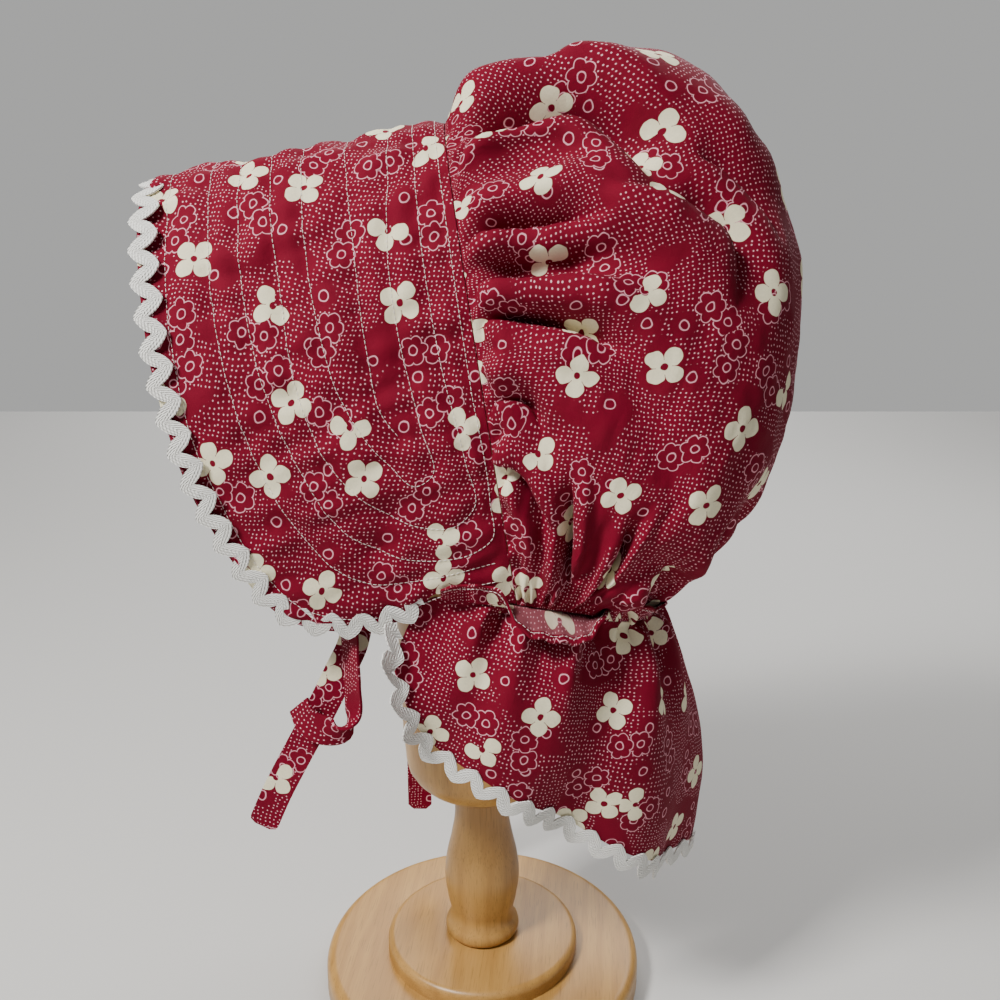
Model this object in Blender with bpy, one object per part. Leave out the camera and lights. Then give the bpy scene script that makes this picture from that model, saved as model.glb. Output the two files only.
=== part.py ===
"""A gathered cotton sunbonnet, shown on a turned wooden hat stand.

Blender 4.5, metres, +Z up. The bonnet faces -Y, its wearer's left is +X, and the stand's axis is
the Z axis with the surface that it stands on at Z = 0.

Across the bonnet, a share runs from -1 at the wearer's right, over the middle, to +1 at the left.
"""

import math
from collections import namedtuple
from functools import lru_cache

import bmesh
import bpy
import numpy as np
from mathutils import Vector

# Clearance between pieces that touch on the real bonnet.
GAP = 0.0004

# Hat stand: a stepped round base, a turned column and a plain rounded top.
BASE_RADIUS = 0.095
BASE_HEIGHT = 0.020
STEP_RADIUS = 0.0576
STEP_HEIGHT = 0.010
STAND_SIDES = 28
TOP_HEIGHT = 0.4990

# Neckline: a U of cloth round the nape, open at the throat, higher at the front than at the nape.
NECK_FRONT_Y = -0.020
NECK_BACK_Y = 0.094
NECK_FRONT_Z = 0.274
NECK_DROP = 0.0245
NECK_HALF_WIDTH = 0.076
NECK_SQUARENESS = 3.0
SEAM_FOOT_SHARE = 0.76
CROWN_FOOT_SHARE = 0.50
SEAM_GAP = 0.0013

# Brim: a stiffened, quilted double cloth bent over the head.
BRIM_REACH = 0.142
BRIM_TOP_FALL = 0.027
BRIM_FOOT_FALL = 0.045
BRIM_WALL = 0.0026
BRIM_SEAM_TOP = (-0.016, 0.494)
BRIM_HALF_WIDTH = (0.084, 0.090)
BRIM_SQUARENESS = (3.0, 2.85)
BRIM_COLUMNS = 26
BRIM_ROWS = (0, 0.10, 0.20, 0.26, 0.33, 0.45, 0.60, 0.74, 0.85, 0.93, 0.98, 1)

# Thin cotton pieces.
CLOTH_WALL = 0.0012
FRILL_ROOT = 0.0020
FRILL_FOOT = 0.0016
FRILL_ROWS = (0, 0.30, 0.62, 1)
FRILL_SHARE = 0.985

# Rickrack braid on the edges of the brim and of the curtain.
BRAID_WIDTH = 0.0078
BRAID_WAVE = 0.0037
BRAID_PITCH = 0.0165
BRAID_WALL = 0.0011
BRAID_INSET = 0.0036
BRAID_LIFT = 0.0006
BRAID_START = 0.285
HEM_BRAID_LIFT = 0.0011
HEM_BRAID_START = 0.68
BRAID_STEPS = 4

# Ties: flat strips of the same cotton.
TIE_WIDTH = 0.0155
TIE_WALL = 0.0012

Material = namedtuple("Material", "name colour roughness")
RED_COTTON = Material("cotton", (0.36, 0.008, 0.035), 0.85)
WHITE_BRAID = Material("braid", (0.86, 0.85, 0.82), 0.8)
PALE_WOOD = Material("wood", (0.62, 0.38, 0.17), 0.42)

# Turned profiles, from the bottom up.
Turn = namedtuple("Turn", "radius height")
COLUMN = [
    Turn(0.0200, 0.0303),
    Turn(0.0219, 0.0325),
    Turn(0.0219, 0.0365),
    Turn(0.0198, 0.0405),
    Turn(0.0190, 0.0444),
    Turn(0.0205, 0.0540),
    Turn(0.0223, 0.0685),
    Turn(0.0212, 0.0820),
    Turn(0.0182, 0.0960),
    Turn(0.0162, 0.1080),
    Turn(0.0158, 0.1220),
]
TOP = [
    Turn(0.0158, 0.1224),
    Turn(0.0262, 0.1290),
    Turn(0.0373, 0.1363),
    Turn(0.0425, 0.1437),
    Turn(0.0442, 0.1557),
    Turn(0.0455, 0.2000),
    Turn(0.0490, 0.2700),
    Turn(0.0520, 0.3500),
    Turn(0.0515, 0.4150),
    Turn(0.0465, 0.4480),
    Turn(0.0372, 0.4750),
    Turn(0.0250, 0.4905),
    Turn(0.0120, 0.4972),
]

# The brim's lower edge: how far it is cut back up each side, from the seam (0) to the front (1).
Cut = namedtuple("Cut", "reach foot")
BRIM_CUT = [
    Cut(0.00, 0.0006),
    Cut(0.10, 0.0077),
    Cut(0.20, 0.0141),
    Cut(0.26, 0.0176),
    Cut(0.32, 0.0120),
    Cut(0.38, 0.0096),
    Cut(0.46, 0.0092),
    Cut(0.56, 0.0120),
    Cut(0.66, 0.0178),
    Cut(0.76, 0.0290),
    Cut(0.81, 0.0400),
    Cut(0.86, 0.0568),
    Cut(0.91, 0.0769),
    Cut(0.95, 0.0985),
    Cut(0.98, 0.1221),
    Cut(1.00, 0.1550),
]

# The crown's middle line, over the top and down the back, with the width of the arch through it.
Arch = namedtuple("Arch", "y z half_width squareness")
CROWN = [
    Arch(-0.0160, 0.4940, 0.084, 3.0),
    Arch(-0.0090, 0.5050, 0.090, 2.9),
    Arch(0.0200, 0.5190, 0.098, 2.7),
    Arch(0.0540, 0.5285, 0.104, 2.6),
    Arch(0.0800, 0.5275, 0.108, 2.5),
    Arch(0.1080, 0.5170, 0.111, 2.4),
    Arch(0.1290, 0.4920, 0.112, 2.4),
    Arch(0.1465, 0.4620, 0.113, 2.4),
    Arch(0.1560, 0.4370, 0.113, 2.4),
    Arch(0.1590, 0.3980, 0.112, 2.4),
    Arch(0.1580, 0.3680, 0.109, 2.4),
    Arch(0.1500, 0.3400, 0.105, 2.4),
    Arch(0.1385, 0.3150, 0.100, 2.4),
    Arch(0.1215, 0.2960, 0.090, 2.4),
    Arch(0.1035, 0.2760, 0.081, 2.4),
    Arch(0.0962, 0.2612, 0.076, 2.4),
    Arch(0.0942, 0.2505, 0.073, 2.4),
]

# Valleys pressed into the crown. Each runs from a share at the seam to a share at its far end.
Fold = namedtuple("Fold", "start_share end_share start_back end_back half_width depth")
CROWN_FOLDS = [
    Fold(0.05, 0.08, 0.00, 0.26, 0.036, 0.0070),
    Fold(0.19, 0.34, 0.00, 0.52, 0.046, 0.0140),
    Fold(0.33, 0.30, 0.00, 0.34, 0.038, 0.0100),
    Fold(0.44, 0.47, 0.00, 0.50, 0.040, 0.0110),
    Fold(0.54, 0.66, 0.00, 0.58, 0.038, 0.0080),
    Fold(0.68, 0.74, 0.00, 0.30, 0.036, 0.0050),
    Fold(0.80, 0.62, 0.55, 1.00, 0.046, 0.0085),
    Fold(0.45, 0.36, 0.70, 1.00, 0.054, 0.0080),
    Fold(0.10, 0.12, 0.74, 1.00, 0.060, 0.0075),
    Fold(-0.09, -0.12, 0.00, 0.36, 0.038, 0.0080),
    Fold(-0.23, -0.32, 0.00, 0.48, 0.044, 0.0125),
    Fold(-0.36, -0.34, 0.00, 0.36, 0.038, 0.0100),
    Fold(-0.47, -0.52, 0.00, 0.52, 0.042, 0.0105),
    Fold(-0.60, -0.68, 0.00, 0.40, 0.038, 0.0070),
    Fold(-0.78, -0.60, 0.55, 1.00, 0.048, 0.0085),
    Fold(-0.40, -0.34, 0.70, 1.00, 0.054, 0.0080),
    Fold(-0.16, -0.14, 0.76, 1.00, 0.054, 0.0065),
]

# The frill that stands out of the neckline: how far its free edge rises and stands out.
Frill = namedtuple("Frill", "share lift reach")
FRILL = [
    Frill(-1.000, 0.0030, 0.0060),
    Frill(-0.900, 0.0050, 0.0070),
    Frill(-0.800, 0.0000, 0.0110),
    Frill(-0.700, 0.0050, 0.0100),
    Frill(-0.600, 0.0005, 0.0120),
    Frill(-0.480, 0.0020, 0.0100),
    Frill(-0.360, 0.0000, 0.0105),
    Frill(-0.240, 0.0045, 0.0100),
    Frill(-0.120, 0.0010, 0.0120),
    Frill(0.000, 0.0040, 0.0160),
    Frill(0.120, 0.0045, 0.0120),
    Frill(0.220, 0.0015, 0.0100),
    Frill(0.320, 0.0000, 0.0100),
    Frill(0.420, 0.0020, 0.0100),
    Frill(0.500, 0.0020, 0.0090),
    Frill(0.580, -0.0030, 0.0125),
    Frill(0.680, -0.0045, 0.0130),
    Frill(0.760, 0.0020, 0.0110),
    Frill(0.820, 0.0060, 0.0070),
    Frill(0.900, 0.0060, 0.0060),
    Frill(1.000, 0.0030, 0.0060),
]

# The curtain below the neckline: how far its hem falls, stands out and slides forward.
Hem = namedtuple("Hem", "share fall out slide")
CURTAIN = [
    Hem(0.00, 0.150, 0.027, 0.000),
    Hem(0.25, 0.138, 0.024, 0.010),
    Hem(0.50, 0.105, 0.013, 0.019),
    Hem(0.70, 0.085, 0.013, 0.024),
    Hem(0.85, 0.068, 0.013, 0.029),
    Hem(0.94, 0.048, 0.013, 0.024),
    Hem(1.00, 0.030, 0.012, 0.020),
]
CURTAIN_COLUMNS = 46
CURTAIN_ROWS = 6
CURTAIN_WAVES = 6.5
CURTAIN_WAVE_DEPTH = 0.0052
CURTAIN_BULGE = 0.013
CURTAIN_TUCK = 0.0034

# Ties: points on the strip's middle line, and the way that its width lies there.
Strip = namedtuple("Strip", "x y z wide_x wide_y wide_z")
LEFT_TIE = [
    Strip(0.0670, -0.0905, 0.2130, 0.15, 0.50, 0.85),
    Strip(0.0715, -0.0870, 0.2075, 0.10, 0.45, 0.90),
    Strip(0.0750, -0.0775, 0.2030, 0.00, 0.30, 1.00),
    Strip(0.0760, -0.0685, 0.2030, 0.35, 0.00, 0.93),
    Strip(0.0750, -0.0630, 0.2110, 0.80, 0.45, 0.25),
    Strip(0.0740, -0.0620, 0.2290, 0.90, 0.40, 0.00),
    Strip(0.0700, -0.0630, 0.2462, 0.88, 0.45, 0.00),
    Strip(0.0666, -0.0630, 0.2590, 0.75, 0.60, 0.00),
    Strip(0.0645, -0.0620, 0.2650, 0.50, 0.85, 0.00),
    Strip(0.0615, -0.0605, 0.2610, 0.25, 0.95, 0.00),
    Strip(0.0615, -0.0620, 0.2470, 0.20, 0.97, 0.00),
    Strip(0.0630, -0.0705, 0.2280, 0.12, 1.00, 0.00),
    Strip(0.0645, -0.0800, 0.2090, 0.10, 1.00, 0.00),
    Strip(0.0655, -0.0930, 0.1850, 0.10, 1.00, 0.00),
    Strip(0.0665, -0.1045, 0.1630, 0.10, 1.00, 0.00),
    Strip(0.0670, -0.1130, 0.1440, 0.10, 1.00, 0.00),
]
RIGHT_TIE = [
    Strip(-0.0728, -0.042, 0.2700, 0.10, 0.99, 0.00),
    Strip(-0.0728, -0.042, 0.2520, 0.10, 0.99, 0.00),
    Strip(-0.0715, -0.042, 0.2250, 0.08, 1.00, 0.00),
    Strip(-0.0705, -0.043, 0.1850, 0.05, 1.00, 0.00),
    Strip(-0.0700, -0.043, 0.1450, 0.03, 1.00, 0.00),
    Strip(-0.0700, -0.043, 0.1050, 0.00, 1.00, 0.00),
    Strip(-0.0700, -0.043, 0.0680, 0.00, 1.00, 0.00),
]


def smooth(at, places, values):
    """Value at a place of the smooth curve that runs through the given places and values."""
    slopes = np.gradient(values, places)
    i = int(np.clip(np.searchsorted(places, at) - 1, 0, len(places) - 2))
    step = places[i + 1] - places[i]
    t = (at - places[i]) / step
    rise = values[i + 1] - values[i]
    return (
        values[i]
        + rise * t * t * (3 - 2 * t)
        + step * t * (1 - t) * (slopes[i] * (1 - t) - slopes[i + 1] * t)
    )


def column(table, name):
    """One named column of a table, as an array."""
    return np.array([getattr(row, name) for row in table], float)


def ease(t):
    """0 up to 0, 1 from 1 on, with a smooth rise between."""
    t = min(max(t, 0.0), 1.0)
    return t * t * (3 - 2 * t)


@lru_cache(maxsize=4096)
def arch_line(foot, half_width, rise, squareness):
    """A squarish arch from its right foot to its left one: shares of its length, x and height."""
    angle = np.linspace(math.pi, 0, 361)
    x = half_width * np.sign(np.cos(angle)) * np.abs(np.cos(angle)) ** (2 / squareness)
    up = np.abs(np.sin(angle)) ** (2 / squareness)
    x *= 1 - (1 - foot / half_width) * (1 - up) ** 3
    length = np.concatenate([[0], np.cumsum(np.hypot(np.diff(x), rise * np.diff(up)))])
    return 2 * length / length[-1] - 1, x, up, length[-1]


def arch_at(share, foot, half_width, rise, squareness):
    """(x, height as a share of the rise) on an arch."""
    line = arch_line(round(foot, 5), round(half_width, 5), round(rise, 5), round(squareness, 3))
    return float(np.interp(share, line[0], line[1])), float(np.interp(share, line[0], line[2]))


def neck_at(share):
    """A point on the neckline, and the outward direction there."""
    rise = NECK_BACK_Y - NECK_FRONT_Y

    def spot(a):
        x, up = arch_at(a, NECK_HALF_WIDTH, NECK_HALF_WIDTH, rise, NECK_SQUARENESS)
        return Vector((x, NECK_FRONT_Y + rise * up, NECK_FRONT_Z - NECK_DROP * up**1.4))

    along = spot(min(share + 0.02, 1)) - spot(max(share - 0.02, -1))
    out = Vector((along.y, -along.x, 0))
    out.normalize()
    return spot(share), -out if out.dot(spot(share)) < 0 else out


def brim_at(share, reach):
    """A point on the brim's outer face. Reach is 0 at the crown seam and 1 at the front edge."""
    foot = neck_at(SEAM_FOOT_SHARE)[0] + Vector((BRAID_LIFT, 0, SEAM_GAP))
    foot_y = foot.y - BRIM_REACH * reach
    foot_z = foot.z - BRIM_FOOT_FALL * reach
    top_y = BRIM_SEAM_TOP[0] - BRIM_REACH * reach
    top_z = BRIM_SEAM_TOP[1] - BRIM_TOP_FALL * reach
    half_width = BRIM_HALF_WIDTH[0] + (BRIM_HALF_WIDTH[1] - BRIM_HALF_WIDTH[0]) * reach
    rise = math.hypot(top_y - foot_y, top_z - foot_z)
    squareness = BRIM_SQUARENESS[0] + (BRIM_SQUARENESS[1] - BRIM_SQUARENESS[0]) * reach
    x, up = arch_at(share, foot.x, half_width, rise, squareness)
    return Vector((x, foot_y + (top_y - foot_y) * up, foot_z + (top_z - foot_z) * up))


def brim_half_length():
    """Half the brim's length round the face."""
    foot = neck_at(SEAM_FOOT_SHARE)[0]
    rise = math.hypot(BRIM_SEAM_TOP[0] - foot.y, BRIM_SEAM_TOP[1] - foot.z)
    return arch_line(round(foot.x, 5), BRIM_HALF_WIDTH[0], round(rise, 5), BRIM_SQUARENESS[0])[3] / 2


def brim_cut(reach):
    """The share at which the brim's lower edge is cut, at a reach."""
    foot = smooth(reach, column(BRIM_CUT, "reach"), column(BRIM_CUT, "foot"))
    return 1 - foot / brim_half_length()


def crown_line():
    """The crown's middle line: shares of its length, and the table's columns at them."""
    y, z = column(CROWN, "y"), column(CROWN, "z")
    length = np.concatenate([[0], np.cumsum(np.hypot(np.diff(y), np.diff(z)))])
    return length / length[-1], y, z


CROWN_SHARES, CROWN_Y, CROWN_Z = crown_line()
CROWN_WIDTHS = column(CROWN, "half_width")
CROWN_SQUARENESS = column(CROWN, "squareness")


def crown_shape(share, back):
    """A point on the crown before its folds. Back is 0 at the brim seam and 1 at the nape."""
    foot_share = SEAM_FOOT_SHARE + (CROWN_FOOT_SHARE - SEAM_FOOT_SHARE) * back
    foot, out = neck_at(foot_share)
    foot += out * BRAID_LIFT + Vector((0, 0, SEAM_GAP))
    top_y = smooth(back, CROWN_SHARES, CROWN_Y)
    top_z = smooth(back, CROWN_SHARES, CROWN_Z)
    rise = math.hypot(top_y - foot.y, top_z - foot.z)
    half_width = smooth(back, CROWN_SHARES, CROWN_WIDTHS)
    squareness = smooth(back, CROWN_SHARES, CROWN_SQUARENESS)
    x, up = arch_at(share, foot.x, half_width, rise, squareness)
    spot = Vector((x, foot.y + (top_y - foot.y) * up, foot.z + (top_z - foot.z) * up))
    neck, out = neck_at(share * foot_share)
    neck += out * BRAID_LIFT + Vector((0, 0, SEAM_GAP))
    return spot.lerp(neck, ease((back - 0.90) / 0.10))


def normal_of(surface, a, b, step=0.004):
    """Unit vector square to a surface of two shares, pointing away from the bonnet's middle."""
    across = surface(a + step, b) - surface(a - step, b)
    along = surface(a, b + step) - surface(a, b - step)
    normal = across.cross(along)
    normal.normalize()
    away = surface(a, b) - Vector((0, 0.03, 0.33))
    return normal if normal.dot(away) > 0 else -normal


def crown_at(share, back):
    """A point on the crown's outer face, with its puffs and valleys."""
    depth = 0.0
    for fold in CROWN_FOLDS:
        if not fold.start_back - 0.001 <= back <= fold.end_back + 0.10:
            continue
        run = (back - fold.start_back) / (fold.end_back - fold.start_back)
        middle = fold.start_share + (fold.end_share - fold.start_share) * run
        fade = ease(1 - (run - 0.35) / 0.8) if fold.start_back == 0 else ease(run / 0.6)
        off = (share - middle) / (fold.half_width * (1 + 0.6 * run))
        puff = 0.25 * math.exp(-((abs(off) - 1.9) ** 2))
        depth += fold.depth * fade * (math.exp(-off * off) - puff)
    at_edge = ease(back / 0.07) * ease((1 - back) / 0.07) * ease((1 - abs(share)) / 0.05)
    inner = min(max(back, 0.004), 0.996)
    normal = normal_of(crown_shape, min(max(share, -0.99), 0.99), inner)
    return crown_shape(share, back) - normal * depth * at_edge + Vector((0, GAP, 0))


def curtain_at(share, down):
    """A point on the curtain's outer face. Down is 0 at the neckline and 1 at the hem."""
    neck, out = neck_at(share)
    shares = column(CURTAIN, "share")
    fall, stand, slide = (
        smooth(abs(share), shares, column(CURTAIN, name)) for name in ("fall", "out", "slide")
    )
    tuck = ease((abs(share) - 0.80) / 0.18)
    bulge = math.sin(math.pi * down) * CURTAIN_BULGE * (1 - tuck) * (1 - 0.6 * abs(share))
    wave = CURTAIN_WAVE_DEPTH * down**0.8 * math.sin(math.pi * CURTAIN_WAVES * share + 0.6)
    wave *= ease((1 - abs(share)) / 0.15)
    inset = CURTAIN_TUCK * tuck
    stand *= down ** (0.75 + 1.5 * tuck)
    spot = neck + out * (BRAID_LIFT - inset + stand + bulge + wave)
    forward = slide * down ** (1 - 0.5 * tuck)
    return spot + Vector((0, -forward, -SEAM_GAP - fall * down))


def frill_at(share, wide):
    """A point on the frill's upper face. Wide is 0 at its sewn edge and 1 at its free edge."""
    neck, out = neck_at(share)
    shares = column(FRILL, "share")
    lift, reach = (smooth(share, shares, column(FRILL, name)) for name in ("lift", "reach"))
    stand = float(np.interp(wide, (0, FRILL_ROWS[1], 1), (-FRILL_ROOT, FRILL_FOOT, reach)))
    rise = lift * max(0.0, (wide - FRILL_ROWS[1]) / (1 - FRILL_ROWS[1])) ** 1.1
    return neck + out * stand + Vector((0, 0, CLOTH_WALL / 2 + rise))


def material(name, kind):
    """A piece's own Blender material, of a kind."""
    made = bpy.data.materials.new(f"{name}_{kind.name}")
    made.use_nodes = True
    shader = made.node_tree.nodes["Principled BSDF"]
    shader.inputs["Base Color"].default_value = (*kind.colour, 1)
    shader.inputs["Roughness"].default_value = kind.roughness
    shader.inputs["Metallic"].default_value = 0
    return made


def add_object(name, bm, kind):
    """Links a finished bmesh as a named, smooth-shaded object."""
    mesh = bpy.data.meshes.new(name)
    bm.to_mesh(mesh)
    bm.free()
    mesh.materials.append(material(name, kind))
    mesh.shade_smooth()
    mesh.set_sharp_from_angle(angle=math.radians(50))
    obj = bpy.data.objects.new(name, mesh)
    bpy.context.scene.collection.objects.link(obj)
    return obj


def sheet(name, across, down, place, wall, kind, outward=None):
    """A grid laid on a surface, with a wall built inwards from it."""
    bm = bmesh.new()
    bmesh.ops.create_grid(bm, x_segments=across, y_segments=down, size=1)
    for vert in bm.verts:
        vert.co = place(vert.co.x, (vert.co.y + 1) / 2)
    bm.normal_update()
    away = outward or (lambda face: face.calc_center_median() - Vector((0, 0.03, 0.33)))
    if sum(face.normal.dot(away(face)) for face in bm.faces) < 0:
        bmesh.ops.reverse_faces(bm, faces=bm.faces)
    obj = add_object(name, bm, kind)
    solidify = obj.modifiers.new("Wall", "SOLIDIFY")
    solidify.thickness = wall
    solidify.offset = -1
    return obj


def turned(name, profile, sides, kind):
    """A solid turned on the Z axis from a profile that runs up its outer side."""
    bm = bmesh.new()
    ends = [Turn(0, profile[0].height), *profile, Turn(0, profile[-1].height)]
    verts = [bm.verts.new((turn.radius, 0, turn.height)) for turn in ends]
    edges = [bm.edges.new(pair) for pair in zip(verts, verts[1:])]
    bmesh.ops.spin(
        bm, geom=verts + edges, cent=(0, 0, 0), axis=(0, 0, 1), angle=2 * math.pi, steps=sides
    )
    bmesh.ops.remove_doubles(bm, verts=bm.verts, dist=1e-6)
    bmesh.ops.recalc_face_normals(bm, faces=bm.faces)
    return add_object(name, bm, kind)


def rounded(radius, height, corner, steps=4):
    """Profile rows of a round-over at the top of a disc."""
    turns = [math.radians(90 * i / steps) for i in range(steps + 1)]
    return [
        Turn(radius - corner + corner * math.cos(a), height - corner + corner * math.sin(a))
        for a in turns
    ]


def finer(profile, pieces):
    """A smooth profile through a short table, with a fixed number of rows."""
    radii, heights = column(profile, "radius"), column(profile, "height")
    run = np.concatenate([[0], np.cumsum(np.hypot(np.diff(radii), np.diff(heights)))])
    return [
        Turn(float(smooth(at, run, radii)), float(smooth(at, run, heights)))
        for at in np.linspace(0, run[-1], pieces + 1)
    ]


def make_stand():
    """The hat stand: base, column and top."""
    foot = [Turn(BASE_RADIUS - 0.003, 0.0), Turn(BASE_RADIUS, 0.003)]
    base = foot + rounded(BASE_RADIUS, BASE_HEIGHT, 0.006)
    base += [Turn(STEP_RADIUS, BASE_HEIGHT)]
    base += rounded(STEP_RADIUS, BASE_HEIGHT + STEP_HEIGHT, 0.004)
    turned("stand_base", base, STAND_SIDES, PALE_WOOD)
    turned("stand_column", finer(COLUMN, 12), 18, PALE_WOOD)
    dome = TOP + [Turn(0.0040, TOP_HEIGHT)]
    turned("stand_top", finer(dome, 10), 16, PALE_WOOD)


def make_brim():
    """The quilted brim, rounded at its lower front corners."""
    rows = len(BRIM_ROWS) - 1

    def place(u, v):
        reach = BRIM_ROWS[round(v * rows)]
        return brim_at(u * brim_cut(reach), reach)

    sheet("brim", BRIM_COLUMNS, rows, place, BRIM_WALL, RED_COTTON)


def make_crown():
    """The gathered crown, with its rows closer together towards the seam and the neckline."""

    def place(u, v):
        return crown_at(u, v - 0.055 * math.sin(2 * math.pi * v))

    sheet("crown", 60, 15, place, CLOTH_WALL, RED_COTTON)


def make_neck():
    """The frill that stands out of the neckline, and the curtain below it."""

    def level(face):
        centre = face.calc_center_median()
        return Vector((centre.x, centre.y - 0.02, 0))

    sheet(
        "neck_frill",
        56,
        len(FRILL_ROWS) - 1,
        lambda u, v: frill_at(u * FRILL_SHARE, FRILL_ROWS[round(v * (len(FRILL_ROWS) - 1))]),
        CLOTH_WALL,
        RED_COTTON,
        lambda face: Vector((0, 0, 1)),
    )
    sheet("curtain", CURTAIN_COLUMNS, CURTAIN_ROWS, curtain_at, CLOTH_WALL, RED_COTTON, level)


def faceted(place, columns, rows):
    """The flat-sided sheet that a surface becomes on a grid of shares, as a surface itself."""
    spots = [[place(a, b) for b in rows] for a in columns]

    def cell(at, marks):
        i = min(max(int(np.searchsorted(marks, at)) - 1, 0), len(marks) - 2)
        return i, (at - marks[i]) / (marks[i + 1] - marks[i])

    def surface(a, b):
        (i, s), (j, t) = cell(a, columns), cell(b, rows)
        near = spots[i][j].lerp(spots[i][j + 1], t)
        return near.lerp(spots[i + 1][j].lerp(spots[i + 1][j + 1], t), s)

    return surface


def braid(name, edge, surface, lift):
    """A wavy band laid along an edge of a surface of two shares. Edge lists those shares."""
    line = [surface(*flat) for flat in edge]
    length = np.concatenate([[0], np.cumsum([(b - a).length for a, b in zip(line, line[1:])])])
    waves = round(length[-1] / BRAID_PITCH)
    stops = np.linspace(0, length[-1], waves * BRAID_STEPS + 1)
    flats = [np.interp(stops, length, [flat[i] for flat in edge]) for i in range(2)]
    middle = [surface(a, b) for a, b in zip(*flats)]
    rails = []
    for i, (a, b) in enumerate(zip(*flats)):
        ahead = (middle[min(i + 1, len(middle) - 1)] - middle[max(i - 1, 0)]).normalized()
        probe_a, probe_b = min(max(a, -0.96), 0.96), min(b, 0.96)
        normal = normal_of(surface, probe_a, probe_b, 0.03)
        inward = ahead.cross(normal).normalized()
        along_a = (surface(probe_a + 0.02, probe_b) - surface(probe_a - 0.02, probe_b)) / 0.04
        along_b = (surface(probe_a, probe_b + 0.02) - surface(probe_a, probe_b - 0.02)) / 0.04
        slopes = np.array([along_a, along_b]).T
        step_a, step_b = np.linalg.lstsq(slopes, np.array(inward), rcond=None)[0]
        swing = math.sin(2 * math.pi * waves * i / (len(middle) - 1))
        slope = math.cos(2 * math.pi * waves * i / (len(middle) - 1))
        ends = []
        for side in (-1, 1):
            off = BRAID_INSET + BRAID_WAVE * swing + side * BRAID_WIDTH / 2
            inner = max(off, 0.0)
            spot = surface(a + step_a * inner, b + step_b * inner) + inward * min(off, 0.0)
            ends.append(spot + ahead * (side * -slope * BRAID_WIDTH * 0.22))
        rails.append([end + normal * (lift + BRAID_WALL) for end in ends] + [normal])
    bm = bmesh.new()
    bmesh.ops.create_grid(bm, x_segments=1, y_segments=len(rails) - 1, size=1)
    for vert in bm.verts:
        rail = rails[round((vert.co.y + 1) / 2 * (len(rails) - 1))]
        vert.co = rail[0] if vert.co.x < 0 else rail[1]
    bm.normal_update()
    bm.faces.ensure_lookup_table()
    if bm.faces[0].normal.dot(rails[0][2]) < 0:
        bmesh.ops.reverse_faces(bm, faces=bm.faces)
    obj = add_object(name, bm, WHITE_BRAID)
    solidify = obj.modifiers.new("Wall", "SOLIDIFY")
    solidify.thickness = BRAID_WALL
    solidify.offset = -1
    return obj


def make_braids():
    """The rickrack along the brim's front and lower edges, and along the curtain's edges."""
    side = [(brim_cut(reach), reach) for reach in np.linspace(BRAID_START, 1, 60)]
    front = [(share, 1) for share in np.linspace(side[-1][0], -side[-1][0], 160)[1:-1]]
    edge = side + front + [(-share, reach) for share, reach in reversed(side)]
    braid("brim_braid", edge, brim_at, BRAID_LIFT)
    marks = np.linspace(-1, 1, CURTAIN_COLUMNS + 1)
    curtain = faceted(curtain_at, marks, np.linspace(0, 1, CURTAIN_ROWS + 1))
    rise = [(1, down) for down in np.linspace(HEM_BRAID_START, 1, 12)]
    hem = [(share, 1) for share in np.linspace(1, -1, 160)[1:-1]]
    edge = rise + hem + [(-share, down) for share, down in reversed(rise)]
    braid("curtain_braid", edge, curtain, HEM_BRAID_LIFT)


def tie(name, points, pieces):
    """A flat cotton strip along a smooth line, with its width laid as the table says."""
    rows = np.array(points, float)
    run = np.linalg.norm(np.diff(rows[:, :3], axis=0), axis=1)
    run = np.concatenate([[0], np.cumsum(run)])
    stops = np.linspace(0, run[-1], pieces + 1)
    spots = [Vector([smooth(at, run, rows[:, i]) for i in (0, 1, 2)]) for at in stops]
    widths = [Vector([smooth(at, run, rows[:, i]) for i in (3, 4, 5)]) for at in stops]
    bm = bmesh.new()
    bmesh.ops.create_grid(bm, x_segments=1, y_segments=pieces, size=1)
    for vert in bm.verts:
        i = round((vert.co.y + 1) / 2 * pieces)
        ahead = (spots[min(i + 1, pieces)] - spots[max(i - 1, 0)]).normalized()
        width = (widths[i] - ahead * widths[i].dot(ahead)).normalized()
        vert.co = spots[i] + width * (vert.co.x * TIE_WIDTH / 2)
    obj = add_object(name, bm, RED_COTTON)
    solidify = obj.modifiers.new("Wall", "SOLIDIFY")
    solidify.thickness = TIE_WALL
    solidify.offset = 0
    return obj


def main():
    """Clears the scene and builds every piece."""
    for obj in list(bpy.data.objects):
        bpy.data.objects.remove(obj)
    make_stand()
    make_brim()
    make_crown()
    make_neck()
    make_braids()
    tie("tie_left", LEFT_TIE, 40)
    tie("tie_right", RIGHT_TIE, 10)


main()
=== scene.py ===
"""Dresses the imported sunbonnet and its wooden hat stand.

Metres, +Z up. The bonnet faces -Y and its wearer's left is +X, which is the side that shows.

Across the bonnet, a share runs from -1 at the wearer's right, over the middle, to +1 at the left.
"""

import logging
import math
from dataclasses import dataclass, field
from enum import Enum
from typing import Callable, NamedTuple, Sequence

import bmesh
import bpy
import numpy as np
from mathutils import Matrix, Vector, kdtree, noise

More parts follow.
